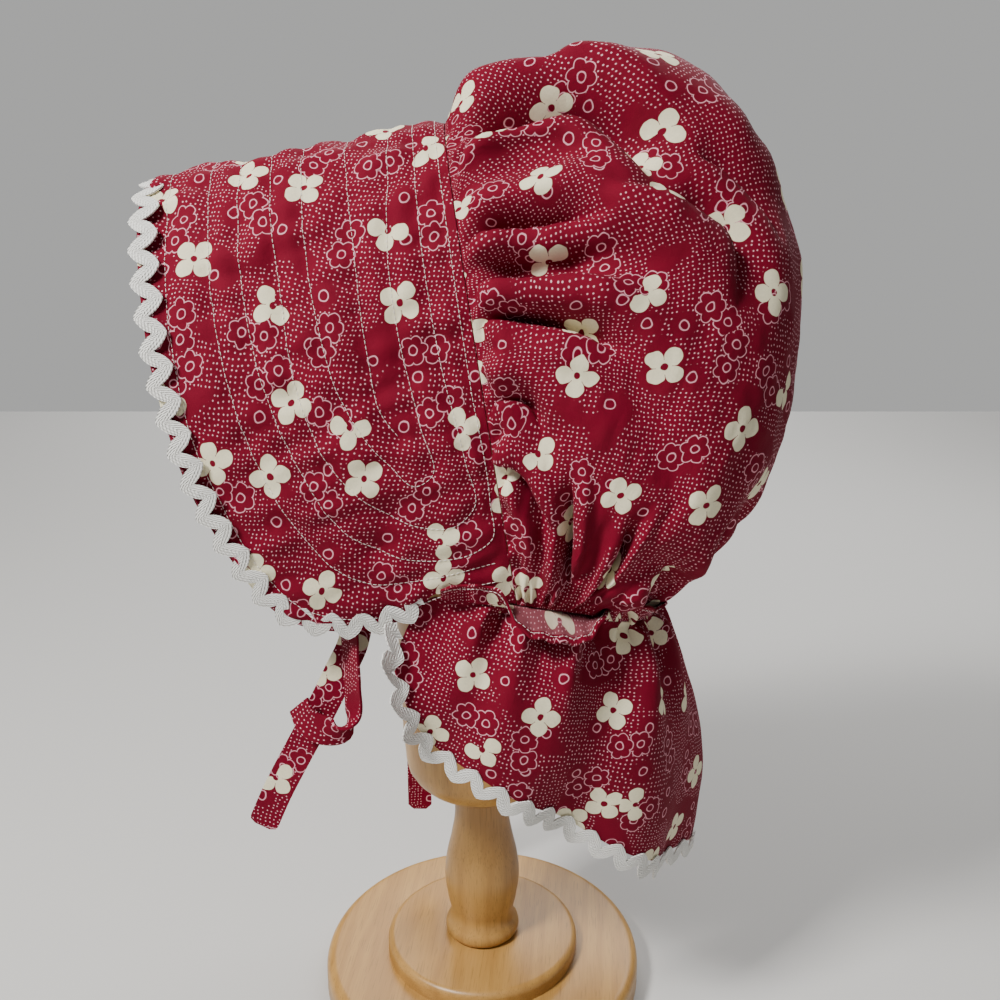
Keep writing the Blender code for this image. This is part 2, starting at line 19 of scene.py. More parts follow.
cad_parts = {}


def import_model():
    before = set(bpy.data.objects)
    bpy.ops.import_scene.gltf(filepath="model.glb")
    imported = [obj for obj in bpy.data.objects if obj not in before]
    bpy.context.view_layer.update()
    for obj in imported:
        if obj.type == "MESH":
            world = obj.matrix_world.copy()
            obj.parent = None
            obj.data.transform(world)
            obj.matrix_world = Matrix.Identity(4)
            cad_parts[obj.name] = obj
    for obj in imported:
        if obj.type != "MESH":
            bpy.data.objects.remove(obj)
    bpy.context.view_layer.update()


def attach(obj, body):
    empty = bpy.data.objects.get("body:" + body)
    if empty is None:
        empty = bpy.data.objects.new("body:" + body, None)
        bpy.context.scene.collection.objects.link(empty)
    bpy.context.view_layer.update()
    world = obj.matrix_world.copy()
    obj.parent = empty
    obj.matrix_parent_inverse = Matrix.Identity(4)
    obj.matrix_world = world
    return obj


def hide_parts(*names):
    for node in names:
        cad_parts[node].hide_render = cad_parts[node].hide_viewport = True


LOG = logging.getLogger("sunbonnet")
BODY = "root"

Array = np.ndarray
Nodes = bpy.types.NodeTree
Socket = bpy.types.NodeSocket
Value = Socket | float | Sequence[float]
Colour = tuple[float, float, float]

CLOTH_WALL = 0.0012
BRAID_LIFT = 0.0006
ARCH_POINTS = 2881
CRUMPLE_GAIN = 1.6
SHARP_FOLD = math.radians(62)
SHARP_TURNING = math.radians(50)


def ease(t: Array) -> Array:
    """0 up to 0, 1 from 1 on, with a smooth rise between."""
    t = np.clip(t, 0.0, 1.0)
    return t * t * (3 - 2 * t)


def smooth(at: Array, places: Array, values: Array) -> Array:
    """Reads the smooth curve through a short table.

    Args:
        at: Places to read at.
        places: The table's places, rising.
        values: The table's values.

    Returns:
        The curve's values.
    """
    at = np.asarray(at, float)
    slopes = np.gradient(values, places)
    i = np.clip(np.searchsorted(places, at) - 1, 0, len(places) - 2)
    step = places[i + 1] - places[i]
    t = (at - places[i]) / step
    rise = values[i + 1] - values[i]
    bend = slopes[i] * (1 - t) - slopes[i + 1] * t
    return values[i] + rise * t * t * (3 - 2 * t) + step * t * (1 - t) * bend


def column(table: Sequence[NamedTuple], name: str) -> Array:
    """One named column of a table."""
    return np.array([getattr(row, name) for row in table], float)


def crumple(x: Array, y: Array, size: float, seed: float) -> Array:
    """Smooth noise between about -1 and 1, on a grid.

    Args:
        x: Flat places across, in metres.
        y: Flat places down, in metres.
        size: Size of its lumps, in metres.
        seed: Which noise it is.

    Returns:
        The noise at each place.
    """
    spots = zip((x / size).ravel(), (y / size).ravel())
    values = [noise.noise(Vector((a, b, seed * 7.31 + 0.37))) for a, b in spots]
    return np.array(values).reshape(x.shape) * CRUMPLE_GAIN


def unit(vectors: Array) -> Array:
    """Vectors of length 1 along the last axis."""
    size = np.linalg.norm(vectors, axis=-1, keepdims=True)
    return vectors / np.maximum(size, 1e-9)


def run_along(points: Array) -> Array:
    """How far along a line each of its points lies."""
    return np.concatenate([[0], np.cumsum(np.linalg.norm(np.diff(points, axis=0), axis=1))])


def border(down: Array, across: Array, top: float, foot: float, side: float) -> Array:
    """Makes a mask that is 0 at a cloth's four edges and 1 inside them.

    Args:
        down: Shares of the rows, 0 to 1.
        across: Shares of the columns, -1 to 1.
        top: Share over which it rises at the first row.
        foot: Share over which it falls at the last row.
        side: Share over which it falls at both sides.

    Returns:
        The mask on the grid.
    """
    rim = ease(down / top)[:, None] * ease((1 - down) / foot)[:, None]
    return rim * ease((1 - np.abs(across)) / side)[None]


def placed(bm: bmesh.types.BMesh, name: str) -> bpy.types.Object:
    """Makes a linked object from a bmesh, and frees the bmesh.

    Args:
        bm: The shape.
        name: The object's name and its mesh's.

    Returns:
        The object.
    """
    mesh = bpy.data.meshes.new(name)
    bm.to_mesh(mesh)
    bm.free()
    obj = bpy.data.objects.new(name, mesh)
    bpy.context.scene.collection.objects.link(obj)
    return obj


def arch(
    share: Array, foot: float, half_width: float, rise: float, squareness: float
) -> tuple[Array, Array, float]:
    """Points on a squarish arch, evenly spread along its length.

    Args:
        share: Places along the arch, -1 to 1.
        foot: Half the width at the feet.
        half_width: Half the greatest width.
        rise: Height of the arch.
        squareness: 2 is a half ellipse, and more is squarer.

    Returns:
        The x values, the heights as shares of the rise, and the arch's length.
    """
    angle = np.linspace(math.pi, 0, ARCH_POINTS)
    x = half_width * np.sign(np.cos(angle)) * np.abs(np.cos(angle)) ** (2 / squareness)
    up = np.abs(np.sin(angle)) ** (2 / squareness)
    x *= 1 - (1 - foot / half_width) * (1 - up) ** 3
    length = np.concatenate([[0], np.cumsum(np.hypot(np.diff(x), rise * np.diff(up)))])
    marks = 2 * length / length[-1] - 1
    return np.interp(share, marks, x), np.interp(share, marks, up), float(length[-1])


class Arch(NamedTuple):
    """A row of the crown's middle line, with the width of the arch through it."""

    y: float
    z: float
    half_width: float
    squareness: float


class Fold(NamedTuple):
    """A broad valley in the crown, from a share at one end to a share at the other."""

    start_share: float
    end_share: float
    start_back: float
    end_back: float
    half_width: float
    depth: float


class Crease(NamedTuple):
    """A crease along a line of shares and rows. Lean above 0 makes its lower side the steep one."""

    line: tuple[tuple[float, float], ...]
    width: float
    depth: float
    lean: float


class Frill(NamedTuple):
    """How far the frill's free edge rises and stands out at a share."""

    share: float
    lift: float
    reach: float


class Hem(NamedTuple):
    """How far the curtain's hem falls, stands out and slides forward at a share."""

    share: float
    fall: float
    out: float
    slide: float


class Cut(NamedTuple):
    """How far up the brim's lower edge is cut at a reach."""

    reach: float
    foot: float


class Turn(NamedTuple):
    """A row of a turned profile."""

    radius: float
    height: float


class Strip(NamedTuple):
    """A point on a tie's middle line, and the way that its width lies there."""

    x: float
    y: float
    z: float
    wide_x: float
    wide_y: float
    wide_z: float


class Stop(NamedTuple):
    """A place that a line of topstitching passes, on one half of the brim."""

    share: float
    reach: float


class Side(Enum):
    """The wearer's sides."""

    LEFT = "left"
    RIGHT = "right"


@dataclass(frozen=True)
class Gathers:
    """Small pleats that run away from a gathered seam.

    Attributes:
        count: Pleats along the whole seam.
        run: How far a pleat reaches from the seam, in metres.
        depth: Depth of a pleat at the seam.
        seed: Seed of their irregular places and sizes.
        stray: How far a pleat strays from its even place, as a share of the spacing.
        sizes: Smallest and largest share of the depth.
        runs: Smallest and largest share of the run.
        drift: How far a pleat slants, as a share of the spacing.
        narrow: Half-width of a pleat, as a share of half the spacing.
        spread: How much wider a pleat gets by its end.
        start: Distance over which the pleats begin at the seam.
        lip: Height of the ridges beside a pleat, as a share of its depth.
    """

    count: int
    run: float
    depth: float
    seed: int
    stray: float = 1.2
    sizes: tuple[float, float] = (0.45, 1.25)
    runs: tuple[float, float] = (0.45, 1.5)
    drift: float = 0.55
    narrow: float = 0.62
    spread: float = 1.6
    start: float = 0.004
    lip: float = 0.38

    def depth_at(self, share: Array, away: Array) -> Array:
        """Depth of the pleats.

        Args:
            share: Places along the seam, a row.
            away: Distances from the seam in metres, a column.

        Returns:
            A grid of depths, below and above zero.
        """
        draw = np.random.default_rng(self.seed)
        places = np.linspace(-1, 1, self.count, endpoint=False) + 1 / self.count
        places += draw.uniform(-0.5, 0.5, self.count) / self.count * self.stray
        sizes = draw.uniform(*self.sizes, self.count)
        runs = self.run * draw.uniform(*self.runs, self.count)
        drift = draw.uniform(-self.drift, self.drift, self.count) / self.count
        wide = self.narrow / self.count
        total = np.zeros(np.broadcast(share, away).shape)
        for place, size, run, side in zip(places, sizes, runs, drift):
            t = np.clip(away / run, 0, 1)
            off = (share - place - side * t * 2) / (wide * (1 + self.spread * t))
            fade = (1 - t) ** 1.4 * ease(away / self.start)
            total += size * fade * (np.exp(-off * off) - self.lip * np.exp(-((abs(off) - 1.7) ** 2)))
        return total * self.depth


@dataclass(frozen=True)
class Necklace:
    """The neckline: a U round the nape, open at the throat.

    Attributes:
        front_y: Where its two ends lie, at the throat.
        back_y: Where its middle lies, at the nape.
        front_z: Height of its ends.
        drop: How much lower its middle lies.
        half_width: Half its width.
        squareness: 2 is a half ellipse, and more is squarer.
    """

    front_y: float = -0.020
    back_y: float = 0.094
    front_z: float = 0.274
    drop: float = 0.0245
    half_width: float = 0.076
    squareness: float = 3.0

    def spot(self, share: Array) -> Array:
        """Points on the neckline."""
        rise = self.back_y - self.front_y
        x, up, _ = arch(share, self.half_width, self.half_width, rise, self.squareness)
        return np.stack([x, self.front_y + rise * up, self.front_z - self.drop * up**1.4], -1)

    def at(self, share: Array) -> tuple[Array, Array]:
        """Points on the neckline, and the outward directions there.

        Args:
            share: Places along it, -1 to 1.

        Returns:
            The points, and level unit vectors away from the neck.
        """
        share = np.asarray(share, float)
        spots = self.spot(share)
        along = self.spot(np.minimum(share + 0.02, 1)) - self.spot(np.maximum(share - 0.02, -1))
        out = unit(np.stack([along[..., 1], -along[..., 0], 0 * along[..., 0]], -1))
        flip = np.sum(out * spots, axis=-1, keepdims=True) < 0
        return spots, np.where(flip, -out, out)

    def length(self) -> float:
        """Length of the whole neckline."""
        spots = self.spot(np.linspace(-1, 1, 400))
        return float(np.linalg.norm(np.diff(spots, axis=0), axis=1).sum())


NECK = Necklace()


class Lay:
    """A grid of points on cloth, read as a surface of two shares.

    Attributes:
        spots: The points, row by row.
        across: Shares of the columns.
        down: Shares of the rows.
    """

    def __init__(self, spots: Array, across: Array, down: Array) -> None:
        """Keeps the grid."""
        self.spots, self.across, self.down = spots, across, down

    def at(self, a: Array, b: Array) -> Array:
        """Points at shares, going straight on past the edges.

        Args:
            a: Shares across.
            b: Shares down.

        Returns:
            A point for each pair.
        """
        a, b = np.broadcast_arrays(np.asarray(a, float), np.asarray(b, float))
        i = np.clip(np.searchsorted(self.across, a) - 1, 0, len(self.across) - 2)
        j = np.clip(np.searchsorted(self.down, b) - 1, 0, len(self.down) - 2)
        s = ((a - self.across[i]) / (self.across[i + 1] - self.across[i]))[..., None]
        t = ((b - self.down[j]) / (self.down[j + 1] - self.down[j]))[..., None]
        near = self.spots[j, i] * (1 - t) + self.spots[j + 1, i] * t
        far = self.spots[j, i + 1] * (1 - t) + self.spots[j + 1, i + 1] * t
        return near * (1 - s) + far * s

    def normals(self, centre: Array) -> Array:
        """Unit vectors square to the cloth at each of its points.

        Args:
            centre: A point that they look away from.

        Returns:
            A vector for each point of the grid.
        """
        along = np.gradient(self.spots, axis=1)
        down = np.gradient(self.spots, axis=0)
        normal = unit(np.cross(along, down))
        away = np.sum(normal * (self.spots - centre), axis=-1)
        return normal if away.sum() > 0 else -normal

    def normal_at(self, a: Array, b: Array, centre: Array, step: float = 0.02) -> Array:
        """Unit vectors square to the cloth at shares.

        Args:
            a: Shares across.
            b: Shares down.
            centre: A point that they look away from.
            step: Step of shares that they are smoothed over.

        Returns:
            A vector for each pair.
        """
        along = self.at(a + step, b) - self.at(a - step, b)
        down = self.at(a, b + step) - self.at(a, b - step)
        normal = unit(np.cross(along, down))
        away = np.sum(normal * (self.at(a, b) - centre), axis=-1, keepdims=True)
        return np.where(away < 0, -normal, normal)


MIDDLE = np.array([0.0, 0.03, 0.33])


def unrolled(lay: Lay, cols: int, rows: int) -> Callable[[Array, Array], tuple[Array, Array]]:
    """Lays a curved cloth flat with as little stretch as it can.

    Args:
        lay: The cloth.
        cols: Cells across that the flattening works on.
        rows: Cells down that it works on.

    Returns:
        A function from shares across and down to flat places in metres.
    """
    across, down = np.linspace(-1, 1, cols + 1), np.linspace(lay.down[0], lay.down[-1], rows + 1)
    a, b = np.meshgrid(across, down)
    spots = lay.at(a, b).reshape(-1, 3)
    bm = bmesh.new()
    bmesh.ops.create_grid(bm, x_segments=cols, y_segments=rows, size=1)
    for vert, spot in zip(bm.verts, spots):
        vert.co = spot
    obj = placed(bm, "flattening")
    mesh = obj.data
    for other in list(bpy.context.selected_objects):
        other.select_set(False)
    bpy.context.view_layer.objects.active = obj
    obj.select_set(True)
    mesh.uv_layers.new(name="cloth")
    bpy.ops.object.mode_set(mode="EDIT")
    bpy.ops.mesh.select_all(action="SELECT")
    bpy.ops.uv.unwrap(method="MINIMUM_STRETCH", iterations=30, margin=0.0)
    bpy.ops.object.mode_set(mode="OBJECT")
    index = np.empty(len(mesh.loops), int)
    mesh.loops.foreach_get("vertex_index", index)
    read = np.empty(len(mesh.loops) * 2, np.float32)
    mesh.uv_layers["cloth"].data.foreach_get("uv", read)
    flat = np.zeros((len(spots), 2))
    flat[index] = read.reshape(-1, 2)
    solid = sum(face.area for face in mesh.polygons)
    grid = flat.reshape(rows + 1, cols + 1, 2)
    one, two = grid[1:, 1:] - grid[:-1, :-1], grid[1:, :-1] - grid[:-1, 1:]
    drawn = 0.5 * np.abs(one[..., 0] * two[..., 1] - one[..., 1] * two[..., 0]).sum()
    grid = grid * math.sqrt(solid / drawn)
    bpy.data.objects.remove(obj)
    bpy.data.meshes.remove(mesh)
    sheet = Lay(np.concatenate([grid, 0 * grid[..., :1]], -1), across, down)

    def place(share: Array, at: Array) -> tuple[Array, Array]:
        """Flat places of shares."""
        spots = sheet.at(share, at)
        return spots[..., 0], spots[..., 1]

    return place


def grid_piece(
    name: str,
    lay: Lay,
    flat: Callable[[Array, Array], tuple[Array, Array]],
    wall: float,
    inwards: float,
    materials: Sequence[bpy.types.Material],
    outward: Callable[[Array], Array] = lambda spots: spots - MIDDLE,
) -> bpy.types.Object:
    """Makes a cloth sheet from a lay, with a wall and its print laid flat.

    Args:
        name: The piece's name.
        lay: Where its outer face lies.
        flat: Gives the flat cloth's two coordinates, in metres, from shares across and down.
        wall: Thickness.
        inwards: Share of the wall on the inner side of the lay, -1 for all of it.
        materials: The outer face's finish, and the inner face's if it differs.
        outward: Gives the directions that the outer face looks in.

    Returns:
        The finished object.
    """
    rows, cols = len(lay.down), len(lay.across)
    bm = bmesh.new()
    bmesh.ops.create_grid(bm, x_segments=cols - 1, y_segments=rows - 1, size=1)
    for vert, spot in zip(bm.verts, lay.spots.reshape(-1, 3)):
        vert.co = spot
    bm.normal_update()
    faces = list(bm.faces)[:: max(1, len(bm.faces) // 900)]
    centres = np.array([face.calc_center_median() for face in faces])
    normals = np.array([face.normal for face in faces])
    if np.sum(normals * outward(centres)) < 0:
        bmesh.ops.reverse_faces(bm, faces=bm.faces)
    obj = placed(bm, name)
    mesh = obj.data
    across, down = np.meshgrid(lay.across, lay.down)
    uv = np.stack(flat(across, down), -1).reshape(-1, 2)
    index = np.empty(len(mesh.loops), int)
    mesh.loops.foreach_get("vertex_index", index)
    mesh.uv_layers.new(name="cloth").data.foreach_set("uv", uv[index].astype(np.float32).ravel())
    for finish in materials:
        mesh.materials.append(finish)
    mesh.shade_smooth()
    solid = obj.modifiers.new("Wall", "SOLIDIFY")
    solid.thickness = wall
    solid.offset = inwards
    solid.material_offset = len(materials) - 1
    shown = obj.evaluated_get(bpy.context.evaluated_depsgraph_get())
    obj.data = bpy.data.meshes.new_from_object(shown)
    obj.data.name = name
    obj.modifiers.clear()
    bpy.data.meshes.remove(mesh)
    obj.data.set_sharp_from_angle(angle=SHARP_FOLD)
    return obj


def settle(obj: bpy.types.Object, slot: str, *nodes: str) -> bpy.types.Object:
    """Rides a piece on the body and hides the solids that it stands for.

    Args:
        obj: The piece.
        slot: Its material slot; not used.
        nodes: The solids that it stands for.

    Returns:
        The piece.
    """
    if nodes:
        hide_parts(*nodes)
    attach(obj, BODY)
    LOG.info("%s: %d faces", obj.name, len(obj.data.polygons))
    return obj


class Graph:
    """Short ways to add nodes to a node tree."""

    def __init__(self, tree: Nodes) -> None:
        """Keeps the tree."""
        self.tree = tree

    def add(self, kind: str, **settings: object) -> bpy.types.Node:
        """A new node.

        Args:
            kind: Its type.
            settings: Its settings by name.

        Returns:
            The node.
        """
        node = self.tree.nodes.new(kind)
        for name, value in settings.items():
            setattr(node, name, value)
        return node

    def feed(self, socket: Socket, value: Value) -> None:
        """Links an output to a socket, or sets the socket's value.

        Args:
            socket: An input.
            value: What goes in.
        """
        if isinstance(value, Socket):
            self.tree.links.new(value, socket)
        else:
            socket.default_value = value

    def math(self, operation: str, *values: Value, clamp: bool = False) -> Socket:
        """A sum on numbers.

        Args:
            operation: Name of the sum.
            values: What goes in.
            clamp: Whether the result stays between 0 and 1.

        Returns:
            The result.
        """
        node = self.add("ShaderNodeMath", operation=operation, use_clamp=clamp)
        for socket, value in zip(node.inputs, values):
            self.feed(socket, value)
        return node.outputs[0]

    def vector(self, operation: str, *values: Value, scale: Value | None = None) -> Socket:
        """A sum on vectors.

        Args:
            operation: Name of the sum.
            values: What goes in.
            scale: The factor of a SCALE.

        Returns:
            The result, a number for LENGTH and a vector otherwise.
        """
        node = self.add("ShaderNodeVectorMath", operation=operation)
        for socket, value in zip(node.inputs, values):
            self.feed(socket, value)
        if scale is not None:
            self.feed(node.inputs["Scale"], scale)
        return node.outputs["Value" if operation == "LENGTH" else "Vector"]

    def below(self, value: Value, edge: float, soft: float) -> Socket:
        """A mask with a soft step.

        Args:
            value: The number that it reads.
            edge: The number at the middle of the step.
            soft: Half the step's width.

        Returns:
            1 below the edge and 0 above it.
        """
        node = self.add("ShaderNodeMapRange", interpolation_type="SMOOTHSTEP")
        ends = (edge - soft, edge + soft, 1.0, 0.0)
        for socket, given in zip(node.inputs, (value, *ends)):
            self.feed(socket, given)
        return node.outputs[0]

    def mix(self, share: Value, first: Value, second: Value) -> Socket:
        """A colour between two.

        Args:
            share: Share of the second.
            first: A colour.
            second: A colour.

        Returns:
            The mixed colour.
        """
        node = self.add("ShaderNodeMix", data_type="RGBA")
        sockets = (node.inputs[0], node.inputs[6], node.inputs[7])
        for socket, value in zip(sockets, (share, first, second)):
            self.feed(socket, value)
        return node.outputs[2]

    def noise(self, vector: Value, scale: float, detail: float = 2.0, flat: bool = False) -> Socket:
        """A noise value.

        Args:
            vector: Where it is read.
            scale: How fine it is.
            detail: How many finer layers it has.
            flat: Whether it reads only two coordinates.

        Returns:
            The value, 0 to 1.
        """
        node = self.add("ShaderNodeTexNoise", noise_dimensions="2D" if flat else "3D")
        self.feed(node.inputs["Vector"], vector)
        node.inputs["Scale"].default_value = scale
        node.inputs["Detail"].default_value = detail
        return node.outputs["Fac"]

    def noises(self, vector: Value, scale: float, detail: float, shift: Sequence[float]) -> Socket:
        """Two noise values on a flat vector.

        Args:
            vector: Where they are read.
            scale: How fine they are.
            detail: How many finer layers they have.
            shift: How far away the second one is read.

        Returns:
            A vector of the two.
        """
        other = self.vector("ADD", vector, shift)
        return self.join(self.noise(vector, scale, detail, True), self.noise(other, scale, detail, True))

    def split(self, vector: Value) -> Sequence[Socket]:
        """The three numbers of a vector."""
        node = self.add("ShaderNodeSeparateXYZ")
        self.feed(node.inputs[0], vector)
        return node.outputs

    def join(self, *numbers: Value) -> Socket:
        """A vector of up to three numbers.

        Args:
            numbers: The numbers.

        Returns:
            The vector.
        """
        node = self.add("ShaderNodeCombineXYZ")
        for socket, value in zip(node.inputs, numbers):
            self.feed(socket, value)
        return node.outputs[0]

    def bump(self, shader: bpy.types.Node, height: Socket, strength: float, distance: float) -> None:
        """Gives a shader fine relief.

        Args:
            shader: The shader.
            height: The relief's height.
            strength: How strongly it shows.
            distance: How high it is, in metres.
        """
        node = self.add("ShaderNodeBump")
        node.inputs["Strength"].default_value = strength
        node.inputs["Distance"].default_value = distance
        self.feed(node.inputs["Height"], height)
        self.feed(shader.inputs["Normal"], node.outputs[0])


def started(name: str) -> tuple[bpy.types.Material, Graph, bpy.types.Node]:
    """Starts a material.

    Args:
        name: Its name.

    Returns:
        The material, a graph on its nodes and its shader.
    """
    made = bpy.data.materials.new(name)
    made.use_nodes = True
    return made, Graph(made.node_tree), made.node_tree.nodes["Principled BSDF"]


def simple(name: str, colour: Colour, roughness: float) -> bpy.types.Material:
    """A plain material.

    Args:
        name: Its name.
        colour: Its colour.
        roughness: Its roughness.

    Returns:
        The material.
    """
    made, _, shader = started(name)
    shader.inputs["Base Color"].default_value = (*colour, 1)
    shader.inputs["Roughness"].default_value = roughness
    return made


def group(
    name: str, inputs: dict[str, str], outputs: dict[str, str]
) -> tuple[Nodes, Graph, dict[str, Socket], bpy.types.Node]:
    """Starts a shader node group.

    Args:
        name: The group's name.
        inputs: Socket kinds by name.
        outputs: Socket kinds by name.

    Returns:
        The group, a graph on it, its input sockets by name and its output node.
    """
    tree = bpy.data.node_groups.new(name, "ShaderNodeTree")
    for way, sockets in (("INPUT", inputs), ("OUTPUT", outputs)):
        for label, kind in sockets.items():
            tree.interface.new_socket(label, in_out=way, socket_type=f"NodeSocket{kind}")
    graph = Graph(tree)
    entry = graph.add("NodeGroupInput")
    leave = graph.add("NodeGroupOutput")
    return tree, graph, {label: entry.outputs[label] for label in inputs}, leave


class Motif(NamedTuple):
    """One layer of the print, scattered one to a cell."""

    cell: float
    jitter: float
    shift: tuple[float, float, float]


def scatter(graph: Graph, cloth: Socket, motif: Motif) -> tuple[Socket, Sequence[Socket]]:
    """Places a motif's cells.

    Args:
        graph: The tree that the nodes go in.
        cloth: The flat cloth's coordinates, in metres.
        motif: The layer's cells.

    Returns:
        The place in the cell from the motif's middle, in metres, and three random numbers.
    """
    place = graph.vector("ADD", graph.vector("SCALE", cloth, scale=1 / motif.cell), motif.shift)
    cells = graph.add("ShaderNodeTexVoronoi", voronoi_dimensions="2D", feature="F1")
    graph.feed(cells.inputs["Vector"], place)
    cells.inputs["Scale"].default_value = 1.0
    cells.inputs["Randomness"].default_value = motif.jitter
    local = graph.vector("SUBTRACT", place, cells.outputs["Position"])
    draws = graph.split(cells.outputs["Color"])
    return graph.vector("SCALE", local, scale=motif.cell), draws


def petals(
    graph: Graph, local: Socket, turn: Socket, count: int, radius: float, petal: float
) -> tuple[Socket, Socket, Socket]:
    """How far a place lies outside a ring of round petals.

    Args:
        graph: The tree that the nodes go in.
        local: The place from the flower's middle, in metres.
        turn: How far the flower is turned, in radians.
        count: Number of petals.
        radius: The flower's radius.
        petal: A petal's radius.

    Returns:
        The distance in metres, below 0 inside, the distance from the middle, and the angle.
    """
    x, y, _ = graph.split(local)
    reach = graph.vector("LENGTH", local)
    angle = graph.math("ADD", graph.math("ARCTAN2", y, x), turn)
    part = math.tau / count
    folded = graph.math("SUBTRACT", graph.math("FLOORED_MODULO", angle, part), part / 2)
    spot = graph.join(
        graph.math("SUBTRACT", graph.math("MULTIPLY", reach, graph.math("COSINE", folded)), radius - petal),
        graph.math("MULTIPLY", reach, graph.math("SINE", folded)),
    )
    out = graph.math("SUBTRACT", graph.vector("LENGTH", spot), petal)
    return out, reach, angle


@dataclass(frozen=True)
class Calico:
    """A small print on a red ground: cream flowers, fine outlined flowers, rings and pin dots.

    Lengths are in metres.

    Attributes:
        soft: Half the width of every printed edge.
        wobble: How far the flowers' outlines wander.
        line_half: Half the width of a printed line.
        bloom_petal: Radius of a cream petal.
        bloom_heart: Radius of the round patch that joins the petals.
        bloom_eye: Radius of the red eye.
        outline_petal: Radius of an outlined petal.
        outline_heart: Radius of the patch that joins them.
        outline_eye: Radius of the ring in the middle.
        outline_apart: How far each flower of an outlined pair lies from the pair's middle.
        ring: Radius of a loose ring.
        ring_clear: Radius of the plain ground round a loose ring.
        dot_wander: How far the rows of dots sway.
        bare_share: Noise value below which the ground has no dots.
        worn: How far the worn places are darker or lighter.
        weave_pitch: From one thread of the weave to the next but one.
        relief: Height of the threads and of their unevenness, for the bump.
    """

    ground: Colour = (0.168, 0.0003, 0.0150)
    bloom: Colour = (0.93, 0.86, 0.61)
    line: Colour = (0.78, 0.36, 0.43)
    dot: Colour = (0.80, 0.42, 0.48)
    pale: Colour = (0.30, 0.13, 0.15)
    pale_share: float = 0.42
    roughness: float = 0.80
    soft: float = 0.00012
    wobble: float = 0.0016
    line_half: float = 0.00022
    blooms: Motif = Motif(0.0425, 0.66, (0.31, 0.77, 0))
    bloom_radius: float = 0.0098
    bloom_petal: float = 0.0040
    bloom_heart: float = 0.0034
    bloom_eye: float = 0.0016
    outlines: Motif = Motif(0.0405, 0.70, (5.83, 2.31, 0))
    outline_radius: float = 0.0067
    outline_petal: float = 0.0026
    outline_heart: float = 0.0042
    outline_eye: float = 0.0019
    outline_apart: float = 0.0053
    rings: Motif = Motif(0.0265, 0.8, (9.1, 4.7, 0))
    ring: float = 0.0023
    ring_clear: float = 0.0062
    dot_radius: float = 0.00034
    dot_wander: float = 0.009
    dots: Motif = Motif(0.00220, 0.42, (0.2, 0.6, 0))
    bare_share: float = 0.365
    worn: float = 0.14
    weave_pitch: float = 0.00042
    relief: tuple[float, float] = (0.06, 0.12)

    def print_group(self) -> Nodes:
        """The node group that lays the print on flat cloth."""
        tree, graph, given, leave = group("calico_print", {"Cloth": "Vector"}, {"Colour": "Color"})
        cloth, soft = given["Cloth"], self.soft
        bend = graph.noises(cloth, 170, 1, (5, 2, 0))
        drawn = graph.vector("ADD", cloth, graph.vector("SCALE", bend, scale=self.wobble))
        bloom, clear = self.cream_flowers(graph, drawn)
        lines, covered = self.outlined_flowers(graph, drawn)

        local, draws = scatter(graph, drawn, self.rings)
        reach = graph.vector("LENGTH", local)
        shown = graph.math("GREATER_THAN", draws[1], 0.35)
        off = graph.math("ABSOLUTE", graph.math("SUBTRACT", reach, self.ring))
        ring = graph.below(off, self.line_half + 0.00008, soft)
        ring = graph.math("MULTIPLY", graph.math("MULTIPLY", ring, shown), graph.math("SUBTRACT", 1, covered))
        plain = graph.math("MULTIPLY", graph.below(reach, self.ring_clear, 0.0006), shown)
        lines = graph.math("MAXIMUM", lines, ring)

        wander = graph.vector("SCALE", graph.noises(cloth, 22, 0, (3, 1, 0)), scale=self.dot_wander)
        warped = graph.vector("ADD", cloth, wander)
        local, _ = scatter(graph, warped, self.dots)
        dots = graph.below(graph.vector("LENGTH", local), self.dot_radius, soft)
        patch = graph.below(graph.noise(cloth, 34, 1, True), self.bare_share, 0.012)
        flowers = graph.math("MAXIMUM", clear, covered)
        blank = graph.math("MAXIMUM", flowers, graph.math("MAXIMUM", patch, plain))
        dots = graph.math("MULTIPLY", dots, graph.math("SUBTRACT", 1, blank))

        tone = graph.noise(cloth, 55, 3, True)
        ends = ((*(c * factor for c in self.ground), 1) for factor in (1 - self.worn, 1 + self.worn))
        ground = graph.mix(tone, *ends)
        colour = graph.mix(dots, ground, (*self.dot, 1))
        colour = graph.mix(lines, colour, (*self.line, 1))
        fade = graph.noise(cloth, 900, 2, True)
        cream = graph.mix(fade, (*(c * (1 - self.worn) for c in self.bloom), 1), (*self.bloom, 1))
        graph.feed(leave.inputs["Colour"], graph.mix(bloom, colour, cream))
        return tree

    def cream_flowers(self, graph: Graph, drawn: Socket) -> tuple[Socket, Socket]:
        """The cream flowers, some with a petal missing.

        Args:
            graph: The tree that the nodes go in.
            drawn: The flat cloth's coordinates.

        Returns:
            The masks of the flowers and of the plain ground close round them.
        """
        local, draws = scatter(graph, drawn, self.blooms)
        turn = graph.math("MULTIPLY", draws[0], math.tau)
        out, reach, angle = petals(graph, local, turn, 4, self.bloom_radius, self.bloom_petal)
        heart = graph.math("SUBTRACT", reach, self.bloom_heart)
        whole = graph.math("MINIMUM", out, heart)
        gap = graph.math("GREATER_THAN", graph.math("FLOORED_MODULO", angle, math.tau), 1.5 * math.pi)
        short = graph.math("MULTIPLY", gap, graph.math("GREATER_THAN", draws[1], 0.62))
        whole = graph.math("ADD", whole, graph.math("MULTIPLY", short, 0.01))
        bloom = graph.below(whole, 0, self.soft)
        eye = graph.below(reach, self.bloom_eye, self.soft)
        bloom = graph.math("MULTIPLY", bloom, graph.math("SUBTRACT", 1, eye))
        return bloom, graph.below(whole, 0.0011, 0.0002)

